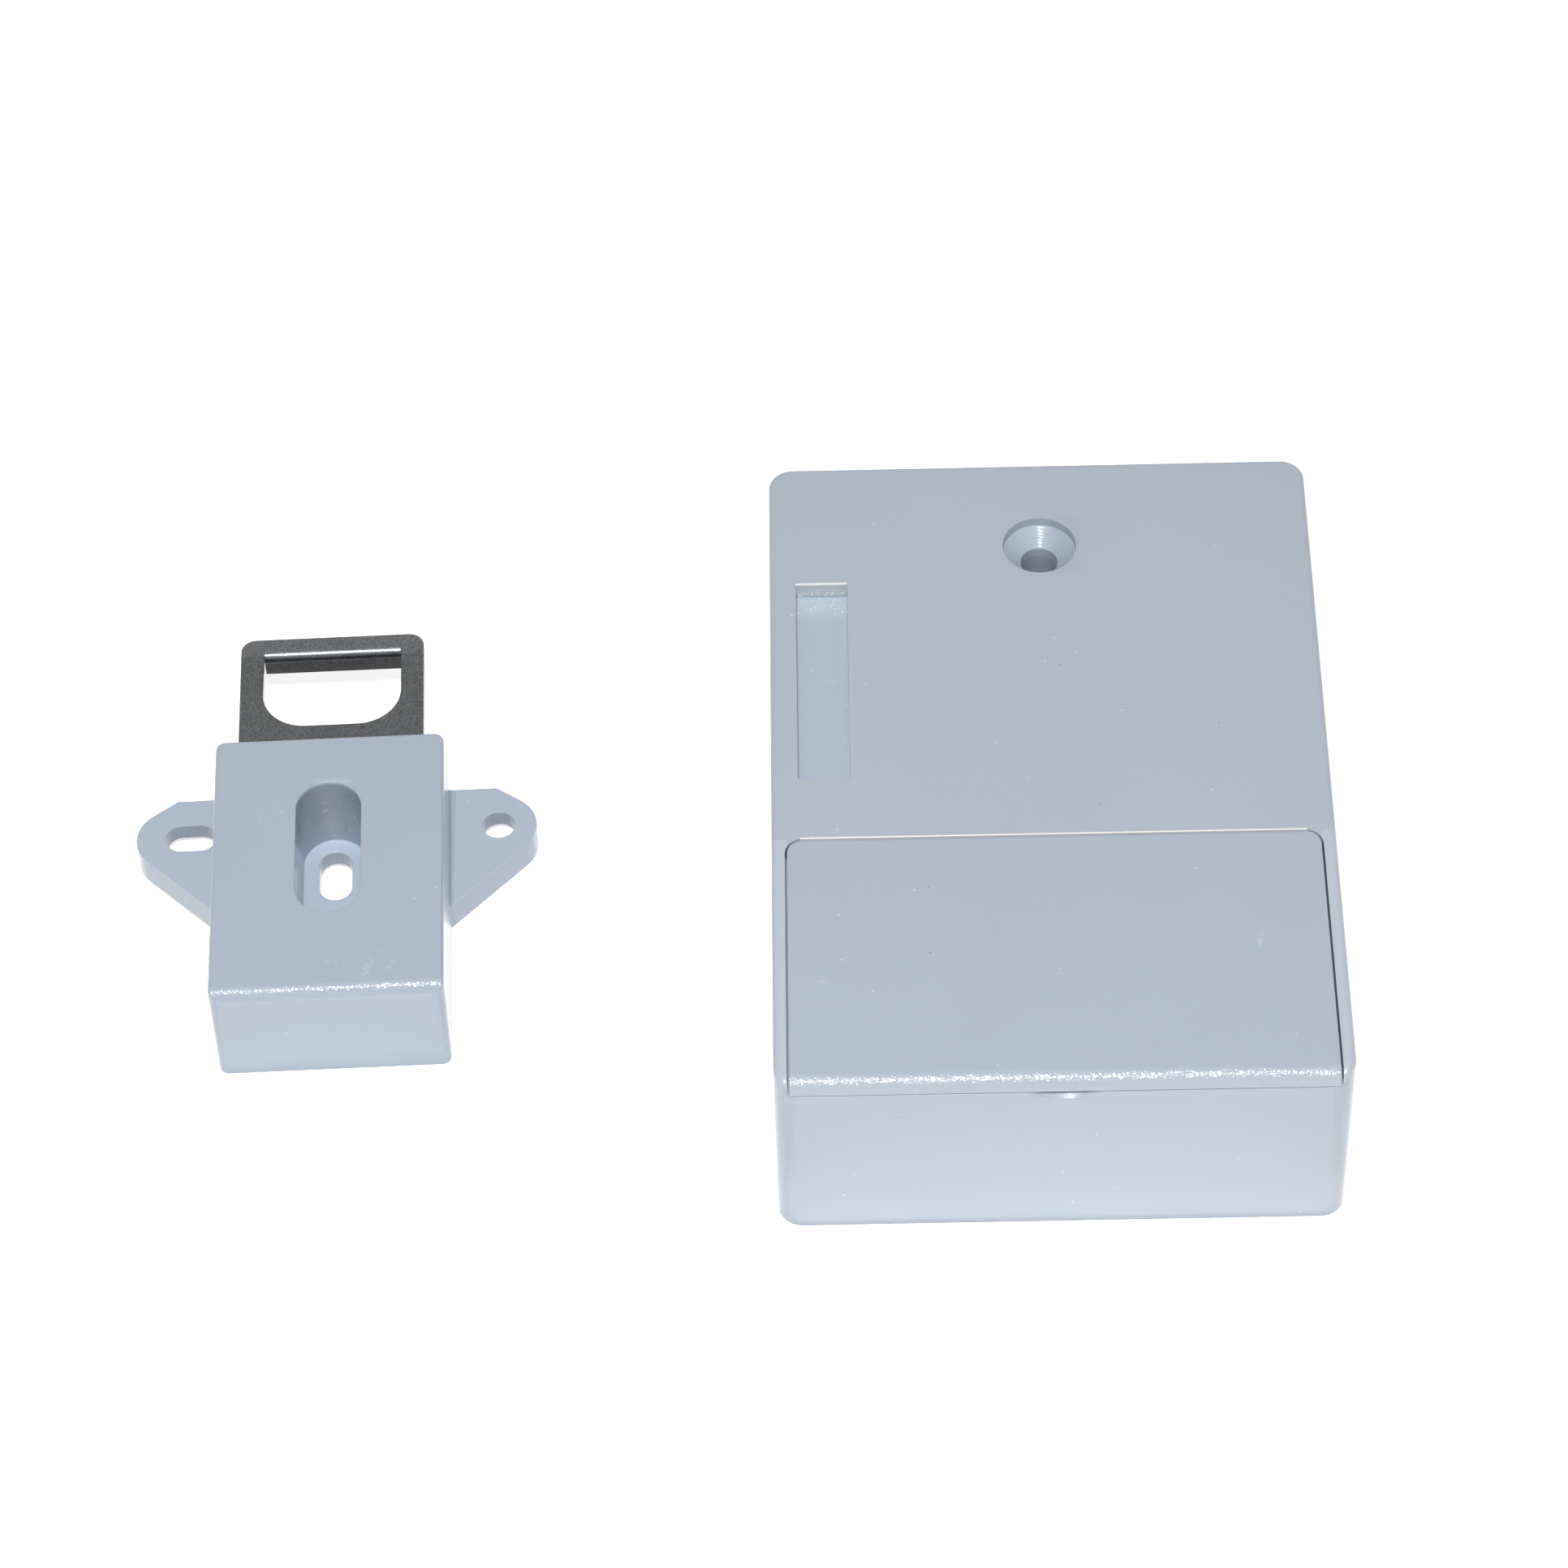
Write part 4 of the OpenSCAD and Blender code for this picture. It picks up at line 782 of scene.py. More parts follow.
CAN_STEEL = Metal("motor can", (0.50, 0.50, 0.50), 0.3, lines=(0.12, 5.0, 0.12))
CAN_TOP = Metal("aluminium can", (0.72, 0.73, 0.74), 0.25)
SHAFT = Metal("ground shaft", (0.55, 0.55, 0.56), 0.2, lines=(0.4, 0.06, 0.4))
BOLT_ZINC = Metal("cast zinc bolt", (0.52, 0.53, 0.55), 0.36, lines=(3.0, 0.2, 0.2), grain_depth=0.006)
COPPER = Metal("enamelled copper", (0.75, 0.33, 0.14), 0.3, lines=(0.5, 0.5, 0.5))
GOLD = Metal("gilt pad", (0.83, 0.62, 0.30), 0.3, lines=(0.5, 0.5, 0.5))
SOLDER = Metal("solder", (0.68, 0.69, 0.70), 0.25, lines=(0.3, 0.3, 0.3))
BOARD_GREEN = Laminate("board laminate", (0.02, 0.13, 0.06), 0.34, drift=0.12, coat=0.3)
TRACK_GREEN = Finish("masked track", (0.035, 0.20, 0.09), 0.32, coat=0.3)
BLACK = Finish("black moulding", (0.028, 0.028, 0.03), 0.48, grain=0.15, drift=0.15)
EPOXY = Finish("chip epoxy", (0.032, 0.033, 0.036), 0.55, grain=0.1, drift=0.12)
IVORY = Finish("connector nylon", (0.78, 0.74, 0.62), 0.42, grain=0.2, drift=0.05)
WHITE = Finish("white nylon", (0.80, 0.80, 0.77), 0.4, grain=0.25, drift=0.04)
CAPACITOR_SLEEVE = Finish("capacitor sleeve", (0.05, 0.07, 0.16), 0.35, drift=0.1)
SLEEVE_RED = Finish("red lead sleeve", (0.50, 0.03, 0.02), 0.42, drift=0.1)
SLEEVE_BLACK = Finish("black lead sleeve", (0.025, 0.025, 0.025), 0.42, drift=0.15)


def welded(node: str, reach: float) -> bmesh.types.BMesh:
    """A working copy of a CAD node with its faces joined.

    Args:
        node: the node's name.
        reach: how near corners lie that become one, in metres.

    Returns:
        The copy, which the caller frees.
    """
    mesh = bmesh.new()
    mesh.from_mesh(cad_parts[node].data)
    bmesh.ops.remove_doubles(mesh, verts=mesh.verts, dist=reach)
    return mesh


def islands(mesh: bmesh.types.BMesh) -> list[Row]:
    """Sorts a mesh's corners by the separate solid that they belong to.

    Args:
        mesh: the mesh.

    Returns:
        One list of corners for each solid.
    """
    left = set(mesh.verts)
    found = []
    while left:
        front = [left.pop()]
        island = []
        while front:
            vert = front.pop()
            island.append(vert)
            near = {edge.other_vert(vert) for edge in vert.link_edges} & left
            left -= near
            front.extend(near)
        found.append(island)
    return found


def solids(node: str) -> list[tuple[Vector, Vector]]:
    """The lowest and highest corner of each separate solid of a CAD node.

    Args:
        node: the node's name.

    Returns:
        One pair of corners for each solid in metres, sorted by place.
    """
    mesh = welded(node, SOLID_REACH)
    boxes = []
    for island in islands(mesh):
        low, high = (Vector([end(v.co[i] for v in island) for i in range(3)]) for end in (min, max))
        boxes.append((low, high))
    mesh.free()
    return sorted(boxes, key=lambda box: tuple(round(c, 5) for c in box[0]))


def solids_mm(node: str) -> list[tuple[Vector, Vector]]:
    """The lowest and highest corner of each separate solid of a CAD node, in millimetres."""
    return [(low / MM, high / MM) for low, high in solids(node)]


def upright(x: float, y: float, z: float) -> Matrix:
    """A place in millimetres with the piece's own axis along Z."""
    return Matrix.Translation(Vector((x, y, z)) * MM)


def along(axis: Long, centre: Vector, side: Side = Side.HIGH) -> Matrix:
    """A place in millimetres with the piece's own Z turned along an axis, up or down it."""
    way = Vector([side.value if i == axis.value else 0.0 for i in range(3)])
    return Matrix.Translation(centre * MM) @ way.to_track_quat("Z", "Y").to_matrix().to_4x4()


def on_end(low: Vector, high: Vector, axis: Long, side: Side = Side.HIGH) -> Matrix:
    """A place at the middle of a box's end, from where the piece points into the box.

    Args:
        low: the box's lowest corner in millimetres.
        high: its highest corner.
        axis: the axis that the piece lies along.
        side: which way the piece points.

    Returns:
        The place.
    """
    foot = (low + high) / 2
    foot[axis.value] = (low if side is Side.HIGH else high)[axis.value]
    return along(axis, foot, side)


def helix(
    turns: float, radius: Callable[[float], float], rise: Callable[[float], float], steps: int = 18
) -> list[Vector]:
    """Points of a coil round the local Z, in millimetres.

    Args:
        turns: how many turns it has.
        radius: the wire's distance from the axis at a share of the coil.
        rise: the wire's height at a share of the coil.
        steps: points in each turn.

    Returns:
        The points from the first end to the last.
    """
    count = int(turns * steps)
    points = []
    for i in range(count + 1):
        share = i / count
        a = TURN * turns * share
        points.append(Vector((radius(share) * math.cos(a), radius(share) * math.sin(a), rise(share))))
    return points


class Piece:
    """One visible piece in the making. Its shapes are added in millimetres, then it is placed on its body.

    Edges over CRISP degrees stay sharp in the shading, and those over SHARP_ANGLE are eased.
    """

    CRISP = 32.0

    def __init__(self, name: str, *finishes: Finish, mesh: bmesh.types.BMesh | None = None) -> None:
        """Starts a piece, empty or from a mesh that is there.

        Args:
            name: the piece's name.
            finishes: its finishes, of which the first is used first.
            mesh: the mesh to start from, if any.
        """
        self.name = name
        self.mesh = bmesh.new() if mesh is None else mesh
        self.finishes = list(finishes)
        self.current = 0

    def use(self, finish: Finish) -> None:
        """Shapes added from here on have this finish.

        Args:
            finish: the finish.
        """
        if finish not in self.finishes:
            self.finishes.append(finish)
        self.current = self.finishes.index(finish)

    def row(self, points: Iterable[Sequence[float]], at: Matrix) -> Row:
        """Adds a row of corners at these points, in millimetres."""
        return [self.mesh.verts.new(at @ (Vector(point) * MM)) for point in points]

    def skin(self, rows: Sequence[Row]) -> None:
        """Joins closed rows of corners by quads and closes both ends.

        Args:
            rows: the rows from one end to the other, each as long as the next.
        """
        faces = [rows[0], rows[-1]]
        for first, second in zip(rows, rows[1:]):
            for i in range(len(first)):
                j = (i + 1) % len(first)
                faces.append([first[i], first[j], second[j], second[i]])
        for corners in faces:
            self.mesh.faces.new(corners).material_index = self.current

    def lathe(self, profile: Profile, at: Matrix, segments: int = 40) -> None:
        """Turns a profile round the local Z.

        Args:
            profile: radius and height of each ring, in millimetres, from one end to the other.
            at: where it stands.
            segments: steps round it.
        """
        steps = circle(segments)
        self.skin([self.row([(r * c, r * s, height) for c, s in steps], at) for r, height in profile])

    def tube(self, path: Sequence[Vector], radius: float, sides: int = 10, at: Matrix = HERE) -> None:
        """Sweeps a round section along a path, with flat ends.

        Args:
            path: the middle of the tube, in millimetres.
            radius: the tube's radius.
            sides: steps round it.
            at: where the path stands.
        """
        points = [(at @ (point * MM)) / MM for point in path]
        rows = []
        normal = None
        for i, point in enumerate(points):
            ahead = points[min(i + 1, len(points) - 1)] - points[max(i - 1, 0)]
            ahead.normalize()
            if normal is None:
                normal = ahead.orthogonal()
            normal = (normal - ahead * normal.dot(ahead)).normalized()
            across = ahead.cross(normal)
            ring = [point + (normal * c + across * s) * radius for c, s in circle(sides)]
            rows.append(self.row(ring, HERE))
        self.skin(rows)

    def plate(self, outline: Profile, low: float, high: float, at: Matrix = HERE, ease: float = 0.0) -> None:
        """Raises an outline from low to high and eases its edges.

        Args:
            outline: corners in millimetres, in order round it.
            low: height of its underside.
            high: height of its top.
            at: where it stands.
            ease: width of the eased edges.
        """
        before = set(self.mesh.faces)
        self.skin([self.row([(x, y, z) for x, y in outline], at) for z in (low, high)])
        if ease > 0.0:
            edges = {edge for face in self.mesh.faces if face not in before for edge in face.edges}
            sharp = [edge for edge in edges if edge.calc_face_angle(0.0) > SHARP_ANGLE]
            shape = {"offset": ease * MM, "segments": BEVEL_STEPS, "profile": 0.5, "affect": "EDGES"}
            bmesh.ops.bevel(self.mesh, geom=sharp, **shape)

    def block(self, low: Sequence[float], high: Sequence[float], ease: float = 0.12) -> None:
        """A block between two corners in millimetres, with eased edges."""
        outline = [(low[0], low[1]), (high[0], low[1]), (high[0], high[1]), (low[0], high[1])]
        self.plate(outline, low[2], high[2], ease=ease)

    def place(self, body: str, slot: str, *stands_for: str, crisp: float = CRISP) -> bpy.types.Object:
        """Turns the piece into an object on its body.

        Args:
            body: the CAD body that it rides on.
            slot: the record's material slot; not used.
            stands_for: CAD nodes that it replaces.
            crisp: edges sharper than this many degrees stay sharp.

        Returns:
            The object.
        """
        bmesh.ops.recalc_face_normals(self.mesh, faces=self.mesh.faces)
        data = bpy.data.meshes.new(self.name)
        self.mesh.to_mesh(data)
        self.mesh.free()
        data.polygons.foreach_set("use_smooth", [True] * len(data.polygons))
        data.set_sharp_from_angle(angle=math.radians(crisp))
        for finish in self.finishes:
            data.materials.append(finish.material())
        made = stand(self.name, data)
        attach(made, body)
        if stands_for:
            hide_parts(*stands_for)
        LOG.info("%s: %d faces on %s", self.name, len(data.polygons), body)
        return made


def dress(node: str, finish: Finish, ease: float = 0.1) -> None:
    """Gives a CAD node its finish, with its sharp edges broken as a moulding's or a pressing's are.

    Args:
        node: the node's name.
        finish: what it is made of.
        ease: width of the broken edges in millimetres.
    """
    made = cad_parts[node]
    made.data.materials.clear()
    made.data.materials.append(finish.material())
    steps = made.modifiers
    configure(steps.new("join faces", "WELD"), merge_threshold=WELD_REACH)
    flat = steps.new("merge flats", "DECIMATE")
    configure(flat, decimate_type="DISSOLVE", angle_limit=FLAT_ANGLE)
    edge = steps.new("broken edges", "BEVEL")
    configure(edge, width=ease * MM, segments=BEVEL_STEPS, limit_method="ANGLE", angle_limit=SHARP_ANGLE)
    edge.use_clamp_overlap = False
    configure(steps.new("even shading", "WEIGHTED_NORMAL"), weight=FLAT_WEIGHT)
    LOG.info("%s: packed node in %s", node, finish.name)


def smoothed(node: str, name: str) -> None:
    """A smooth copy of a node's two leads on the lock's body, black for the lead that starts furthest left.

    Args:
        node: the leads' CAD node, which the copy replaces.
        name: the new piece's name.
    """
    sleeves = (SLEEVE_BLACK, SLEEVE_RED)
    mesh = welded(node, LEAD_REACH)
    leads = sorted(islands(mesh), key=lambda lead: min(vert.co.x for vert in lead))
    for number, lead in enumerate(leads):
        for face in {face for vert in lead for face in vert.link_faces}:
            face.material_index = number % len(sleeves)
    made = Piece(name, *sleeves, mesh=mesh).place("lock_body", "lead_sleeve", node, crisp=180.0)
    configure(made.modifiers.new("round sleeve", "SUBSURF"), levels=2, render_levels=2)


@dataclass(frozen=True)
class Lamp:
    """A square soft lamp that looks at the object. Its bearing is 0 in front and 90 on the right."""

    name: str
    turn: float
    rise: float
    reach: float
    size: float
    level: float
    aim: Triple = (-0.025, 0.0, 0.014)

    def build(self) -> None:
        """Hangs the lamp, at its level of brightness on a white face square to it."""
        a, e = math.radians(self.turn), math.radians(self.rise)
        way = Vector((math.sin(a) * math.cos(e), -math.cos(a) * math.cos(e), math.sin(e)))
        data = bpy.data.lights.new(self.name, "AREA")
        configure(data, shape="SQUARE", size=self.size, energy=self.level * math.pi**2 * self.reach**2)
        spot = Vector(self.aim) + way * self.reach
        made = stand(self.name, data, location=spot, rotation_mode="QUATERNION")
        made.rotation_quaternion = way.to_track_quat("Z", "Y")


@dataclass(frozen=True)
class Card:
    """A bright card on the floor, which lights the front from below. Its level is brightness beside white."""

    name: str
    centre: Triple
    width: float
    depth: float
    level: float

    def build(self) -> None:
        """Lays the card down."""
        data = bpy.data.lights.new(self.name, "AREA")
        configure(data, shape="RECTANGLE", size=self.width, size_y=self.depth)
        data.energy = self.level * math.pi * self.width * self.depth
        stand(self.name, data, location=self.centre, rotation_euler=(math.pi, 0.0, 0.0), visible_camera=False)


@dataclass
class Studio:
    """The camera, lamps, floor and backdrop. Lengths are in metres and angles in degrees."""

    lens: float = 127.96
    camera_at: Triple = (-0.023936, -0.436154, 0.548013)
    camera_turn: Triple = (39.764, 1.264, -0.401)
    floor_size: float = 6.0
    floor_drop: float = 0.00005
    floor_shade: float = 0.8
    floor_glow: float = 0.68
    sky: float = 0.31
    white: Triple = (1.0, 1.0, 1.0)
    lights: tuple[Lamp | Card, ...] = (
        Lamp("lamp over the camera", -3.0, 59.0, 0.85, 0.09, 0.79),
        Card("card before the lock", (0.0, -0.0645, 0.0004), 0.076, 0.03, 0.5),
        Card("card before the strike", (-0.0885, -0.0345, 0.0004), 0.034, 0.018, 0.35),
    )

    def camera(self) -> None:
        """Stands the camera where the photograph was taken from."""
        data = bpy.data.cameras.new("camera")
        configure(data, lens=self.lens, sensor_width=36.0, clip_start=0.01, clip_end=20.0)
        turn = [math.radians(a) for a in self.camera_turn]
        bpy.context.scene.camera = stand("camera", data, location=self.camera_at, rotation_euler=turn)

    def floor(self) -> None:
        """Lays the pale floor, which glows a little where it is seen and keeps the shadow."""
        mesh = bmesh.new()
        bmesh.ops.create_grid(mesh, x_segments=8, y_segments=8, size=self.floor_size / 2)
        data = bpy.data.meshes.new("floor")
        mesh.to_mesh(data)
        mesh.free()
        pale = bpy.data.materials.new("pale floor")
        w = Wiring(pale)
        level = w.ramp(w.noise(40.0, 2.0), 0.2, 0.8, self.floor_shade, self.floor_shade + 0.01)
        diffuse = w.add("ShaderNodeBsdfDiffuse", {"Color": w.scale(self.white, level)}).outputs[0]
        glow = w.add("ShaderNodeEmission", {"Strength": w.times(w.seen(), self.floor_glow)}).outputs[0]
        both = w.add("ShaderNodeAddShader", {0: diffuse, 1: glow}).outputs[0]
        w.add("ShaderNodeOutputMaterial", {"Surface": both})
        data.materials.append(pale)
        made = stand("floor", data, location=(0.0, 0.0, -self.floor_drop))

    def backdrop(self) -> None:
        """Lights the scene evenly from all round, and shows plain white behind it."""
        world = bpy.data.worlds.new("studio")
        w = Wiring(world)
        level = w.add("ShaderNodeMapRange", {"Value": w.seen(), "To Min": self.sky, "To Max": 1.0}).outputs[0]
        light = w.add("ShaderNodeBackground", {"Color": (*self.white, 1.0), "Strength": level})
        w.add("ShaderNodeOutputWorld", {"Surface": light.outputs[0]})
        bpy.context.scene.world = world

    def build(self) -> None:
        """Sets up the whole studio."""
        bpy.context.scene.view_settings.view_transform = "Standard"
        self.camera()
        self.floor()
        self.backdrop()
        for light in self.lights:
            light.build()


@dataclass
class Screws:
    """A set of cross-headed screws in place of one CAD node's plain ones.

    Sizes are in millimetres. The shares of the head's radius are half a slot's width, a slot's length and
    the core's radius. The root's share is of the shank's radius.
    """

    node: str
    shank: float = 2.0
    pitch: float = 0.8
    recess: float = 0.7
    head: float = 1.3
    slot_share: float = 0.13
    arm_share: float = 0.58
    core_share: float = 0.26
    dome_share: float = 0.35
    root_share: float = 0.78
    rim: float = 0.12
    chamfer: float = 0.08

    def head_side(self, low: Vector, high: Vector) -> Side:
        """Finds the wide end of one screw.

        Args:
            low: the lowest corner of its solid.
            high: the highest corner.

        Returns:
            Whether its head is at the top or the bottom.
        """
        mid = (low + high) / 2
        wide = {Side.LOW: 0.0, Side.HIGH: 0.0}
        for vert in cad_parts[self.node].data.vertices:
            spot = vert.co / MM - mid
            reach = math.hypot(spot.x, spot.y)
            if reach <= (high.x - low.x) * 0.6:
                side = Side.HIGH if spot.z > 0.0 else Side.LOW
                wide[side] = max(wide[side], reach)
        return max(wide, key=wide.get)

    def top(self, c: float, s: float, reach: float, radius: float) -> float:
        """The height of a low dome, cut down where the cross recess is.

        Args:
            c: the cosine of the place's bearing.
            s: the sine of the place's bearing.
            reach: the place's distance from the middle.
            radius: the head's radius.

        Returns:
            The height over the seat.
        """
        near, far = sorted((abs(reach * c), abs(reach * s)))
        arm = clamp((radius * self.slot_share - near) / 0.08 + 0.5)
        arm *= clamp((radius * self.arm_share - far) / 0.16 + 0.5)
        core = clamp((radius * self.core_share - reach) / 0.12 + 0.5)
        return self.head * (1.0 - self.dome_share * (reach / radius) ** 3) - self.recess * max(arm, core)

    def cross_head(self, piece: Piece, at: Matrix, radius: float, rings: int = 12) -> None:
        """A low domed head with a cross recess.

        Args:
            piece: the piece that it is added to.
            at: the head's seat, with Z pointing out of the head.
            radius: the head's radius.
            rings: steps from the middle to the rim.
        """
        steps = circle(48)
        rows = []
        for reach in (radius * r / rings for r in range(1, rings + 1)):
            rows.append([(reach * c, reach * s, self.top(c, s, reach, radius)) for c, s in steps])
        for reach, height in ((radius, self.rim), (radius - self.chamfer, 0.0)):
            rows.append([(reach * c, reach * s, height) for c, s in steps])
        piece.skin([piece.row(points, at) for points in rows])

    def threaded(self, piece: Piece, at: Matrix, length: float, steps: int = 5) -> None:
        """A threaded shank that ends in a short cone.

        Args:
            piece: the piece that it is added to.
            at: the head's seat, with Z pointing out of the head.
            length: the shank's length.
            steps: rows in each turn of the thread.
        """
        around = circle(20)
        rows = []
        count = int(length / self.pitch * steps)
        for depth in (length * k / count for k in range(count + 1)):
            tip = min(1.0, (length - depth) / (1.2 * self.pitch) + 0.35)
            points = []
            for i, (c, s) in enumerate(around):
                phase = (depth / self.pitch + i / len(around)) % 1.0
                crest = max(0.0, 1.0 - abs(phase - 0.5) / 0.3)
                radius = self.shank / 2 * (self.root_share + (1.0 - self.root_share) * crest) * tip
                points.append((radius * c, radius * s, -depth))
            rows.append(piece.row(points, at))
        piece.skin(rows)

    def build(self) -> None:
        """Makes the whole set as one piece."""
        piece = Piece(self.node + "_turned", SCREW_ZINC)
        for low, high in solids(self.node):
            length = (high.z - low.z) / MM
            low, high = low / MM, high / MM
            side = self.head_side(low, high)
            seat = (low + high) / 2
            seat.z = (high.z if side is Side.HIGH else low.z) - side.value * self.head
            at = along(Long.Z, seat, side)
            self.cross_head(piece, at, (high.x - low.x) / 2)
            self.threaded(piece, at, length - self.head)
        piece.place("lock_body", "zinc_screw", self.node, crisp=40.0)


@dataclass
class CoilSprings:
    """Coil springs with closed ends in place of a CAD node's plain tubes. Sizes are in millimetres."""

    node: str
    name: str
    body: str
    joint: str
    axis: Long
    active: float
    travel: float
    anchor: Triple
    wire: float = 0.5
    closed: float = 1.25

    @property
    def turns(self) -> float:
        """All the turns of one spring."""
        return self.active + 2 * self.closed

    def rise(self, length: float) -> Callable[[float], float]:
        """How the wire climbs, with its end turns lying flat.

        Args:
            length: the spring's length.

        Returns:
            The wire's height at a share of the coil.
        """
        flat = self.closed * self.wire * 1.05
        low, high = self.wire / 2, length - self.wire / 2

        def height(share: float) -> float:
            """The wire's height at that share of the coil.

            Args:
                share: the share.

            Returns:
                The height.
            """
            turn = share * self.turns
            if turn < self.closed:
                return low + flat * turn / self.closed
            if turn > self.turns - self.closed:
                return high - flat * (self.turns - turn) / self.closed
            return low + flat + (high - low - 2 * flat) * (turn - self.closed) / self.active

        return height

    def build(self) -> None:
        """Winds each spring, all as one piece on their body."""
        piece = Piece(self.name, SPRING_STEEL)
        across = Long.X if self.axis is Long.Z else Long.Y
        for low, high in solids_mm(self.node):
            size = high - low
            length = size[self.axis.value]
            radius = (size[across.value] - self.wire) / 2
            coil = helix(self.turns, lambda share: radius, self.rise(length))
            piece.tube(coil, self.wire / 2, 8, on_end(low, high, self.axis))
        made = piece.place(self.body, "spring_wire", self.node, crisp=80.0)
        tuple(self.anchor)
        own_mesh(made)


@dataclass
class Shell:
    """The housing with its back cover and the cover's screws."""

    edge: float = 0.06

    def build(self) -> None:
        """Dresses the mouldings and turns the screws."""
        dress("front_housing", HOUSING, self.edge)
        dress("back_cover", HOUSING, self.edge)
        Screws("cover_screws", 2.6, 1.0, 0.8, 1.4).build()


@dataclass
class Ejector:
    """The sprung plate in the slot, with its two springs. Sizes are in millimetres, the anchor in metres."""

    turns: float = 9.0
    travel: float = 14.0
    anchor: Triple = (0.0, 0.0, 0.002)

    def build(self) -> None:
        """Dresses the plate and winds its springs."""
        dress("ejector", EJECTOR_GREY)
        CoilSprings(
            "ejector_springs", "ejector_coils", "lock_body", "ejector_slide", Long.Z,
            self.turns, self.travel, self.anchor
        ).build()


@dataclass
class BatteryBay:
    """The door, the three cells, their contacts and their leads. Sizes are in millimetres."""

    door_edge: float = 0.06
    cell_r: float = 5.25
    cell_l: float = 44.5
    button_r: float = 1.9
    button_h: float = 0.9
    neck_r: float = 4.95
    film: Triple = (0.03, 0.15, 0.17)
    band: Triple = (0.62, 0.63, 0.62)
    band_share: float = 0.72
    coil_turns: float = 4.5
    coil_wire: float = 0.55
    coil_flat_share: float = 0.14

    def cell(self, node: str, plus: Side) -> None:
        """One cell with its crimped can, film, insulating ring and button.

        Args:
            node: the CAD node that it replaces.
            plus: the end that has the button.
        """
        low, high = box_mm(node)
        at = on_end(low, high, Long.X, plus)
        r, neck, button, end = self.cell_r, self.neck_r, self.button_r, self.cell_l - self.button_h
        band_at = (low if plus is Side.HIGH else high).x + plus.value * self.cell_l * self.band_share
        piece = Piece(node + "_cell", NICKEL)
        base = [(0.4, 0.35), (3.4, 0.35), (3.6, 0.0), (4.3, 0.0), (4.75, 0.2), (neck, 0.6), (neck, 1.6)]
        can = [(neck, end - 1.6), (neck, end - 0.8), (4.7, end - 0.25)]
        can += [(4.2, end), (3.2, end), (3.1, end - 0.25)]
        cap = [(3.1, end - 0.3), (2.1, end - 0.3), (button, end), (button, end + 0.65)]
        cap += [(button - 0.25, end + self.button_h), (0.3, end + self.button_h)]
        for profile in (base, can, cap):
            piece.lathe(profile, at)
        piece.use(BLACK)
        piece.lathe([(3.15, end - 0.4), (3.15, end - 0.05), (2.05, end - 0.05), (2.05, end - 0.4)], at)
        piece.use(Wrapper(
            node + " film", self.film, 0.3, drift=0.03, coat=0.4, band=self.band, band_at=band_at, plus=plus
        ))
        wrap = [(4.2, 0.12), (4.7, 0.06), (r - 0.12, 0.35), (r, 0.8), (r, end - 0.75), (r - 0.12, end - 0.3)]
        piece.lathe(wrap + [(4.6, end + 0.02), (4.3, end + 0.02)], at, 56)
        piece.place("lock_body", "cell_jacket", node)

    def springs(self) -> None:
        """The conical springs that press on the minus ends."""
        piece = Piece("contact_coils", NICKEL)
        flat, wire = self.coil_flat_share, self.coil_wire
        for low, high in solids_mm("contact_springs"):
            side = Side.LOW if low.x + high.x > 0.0 else Side.HIGH
            length = high.x - low.x
            wide = (high.y - low.y - wire) / 2
            coil = helix(
                self.coil_turns,
                lambda share: wide * (1.0 - 0.5 * share),
                lambda share: wire / 2 + (length - wire) * max(0.0, (share - flat) / (1.0 - flat)),
                22,
            )
            piece.tube(coil, wire / 2, 8, on_end(low, high, Long.X, side))
        piece.place("lock_body", "nickel_plate", "contact_springs", crisp=80.0)

    def build(self) -> None:
        """Builds the bay's pieces."""
        dress("battery_door", DOOR, self.door_edge)
        for row, plus in (("front", Side.HIGH), ("middle", Side.LOW), ("rear", Side.HIGH)):
            self.cell("battery_cell_" + row, plus)
        dress("contact_plates", NICKEL, 0.05)
        self.springs()
        smoothed("battery_leads", "battery_lead_sleeves")


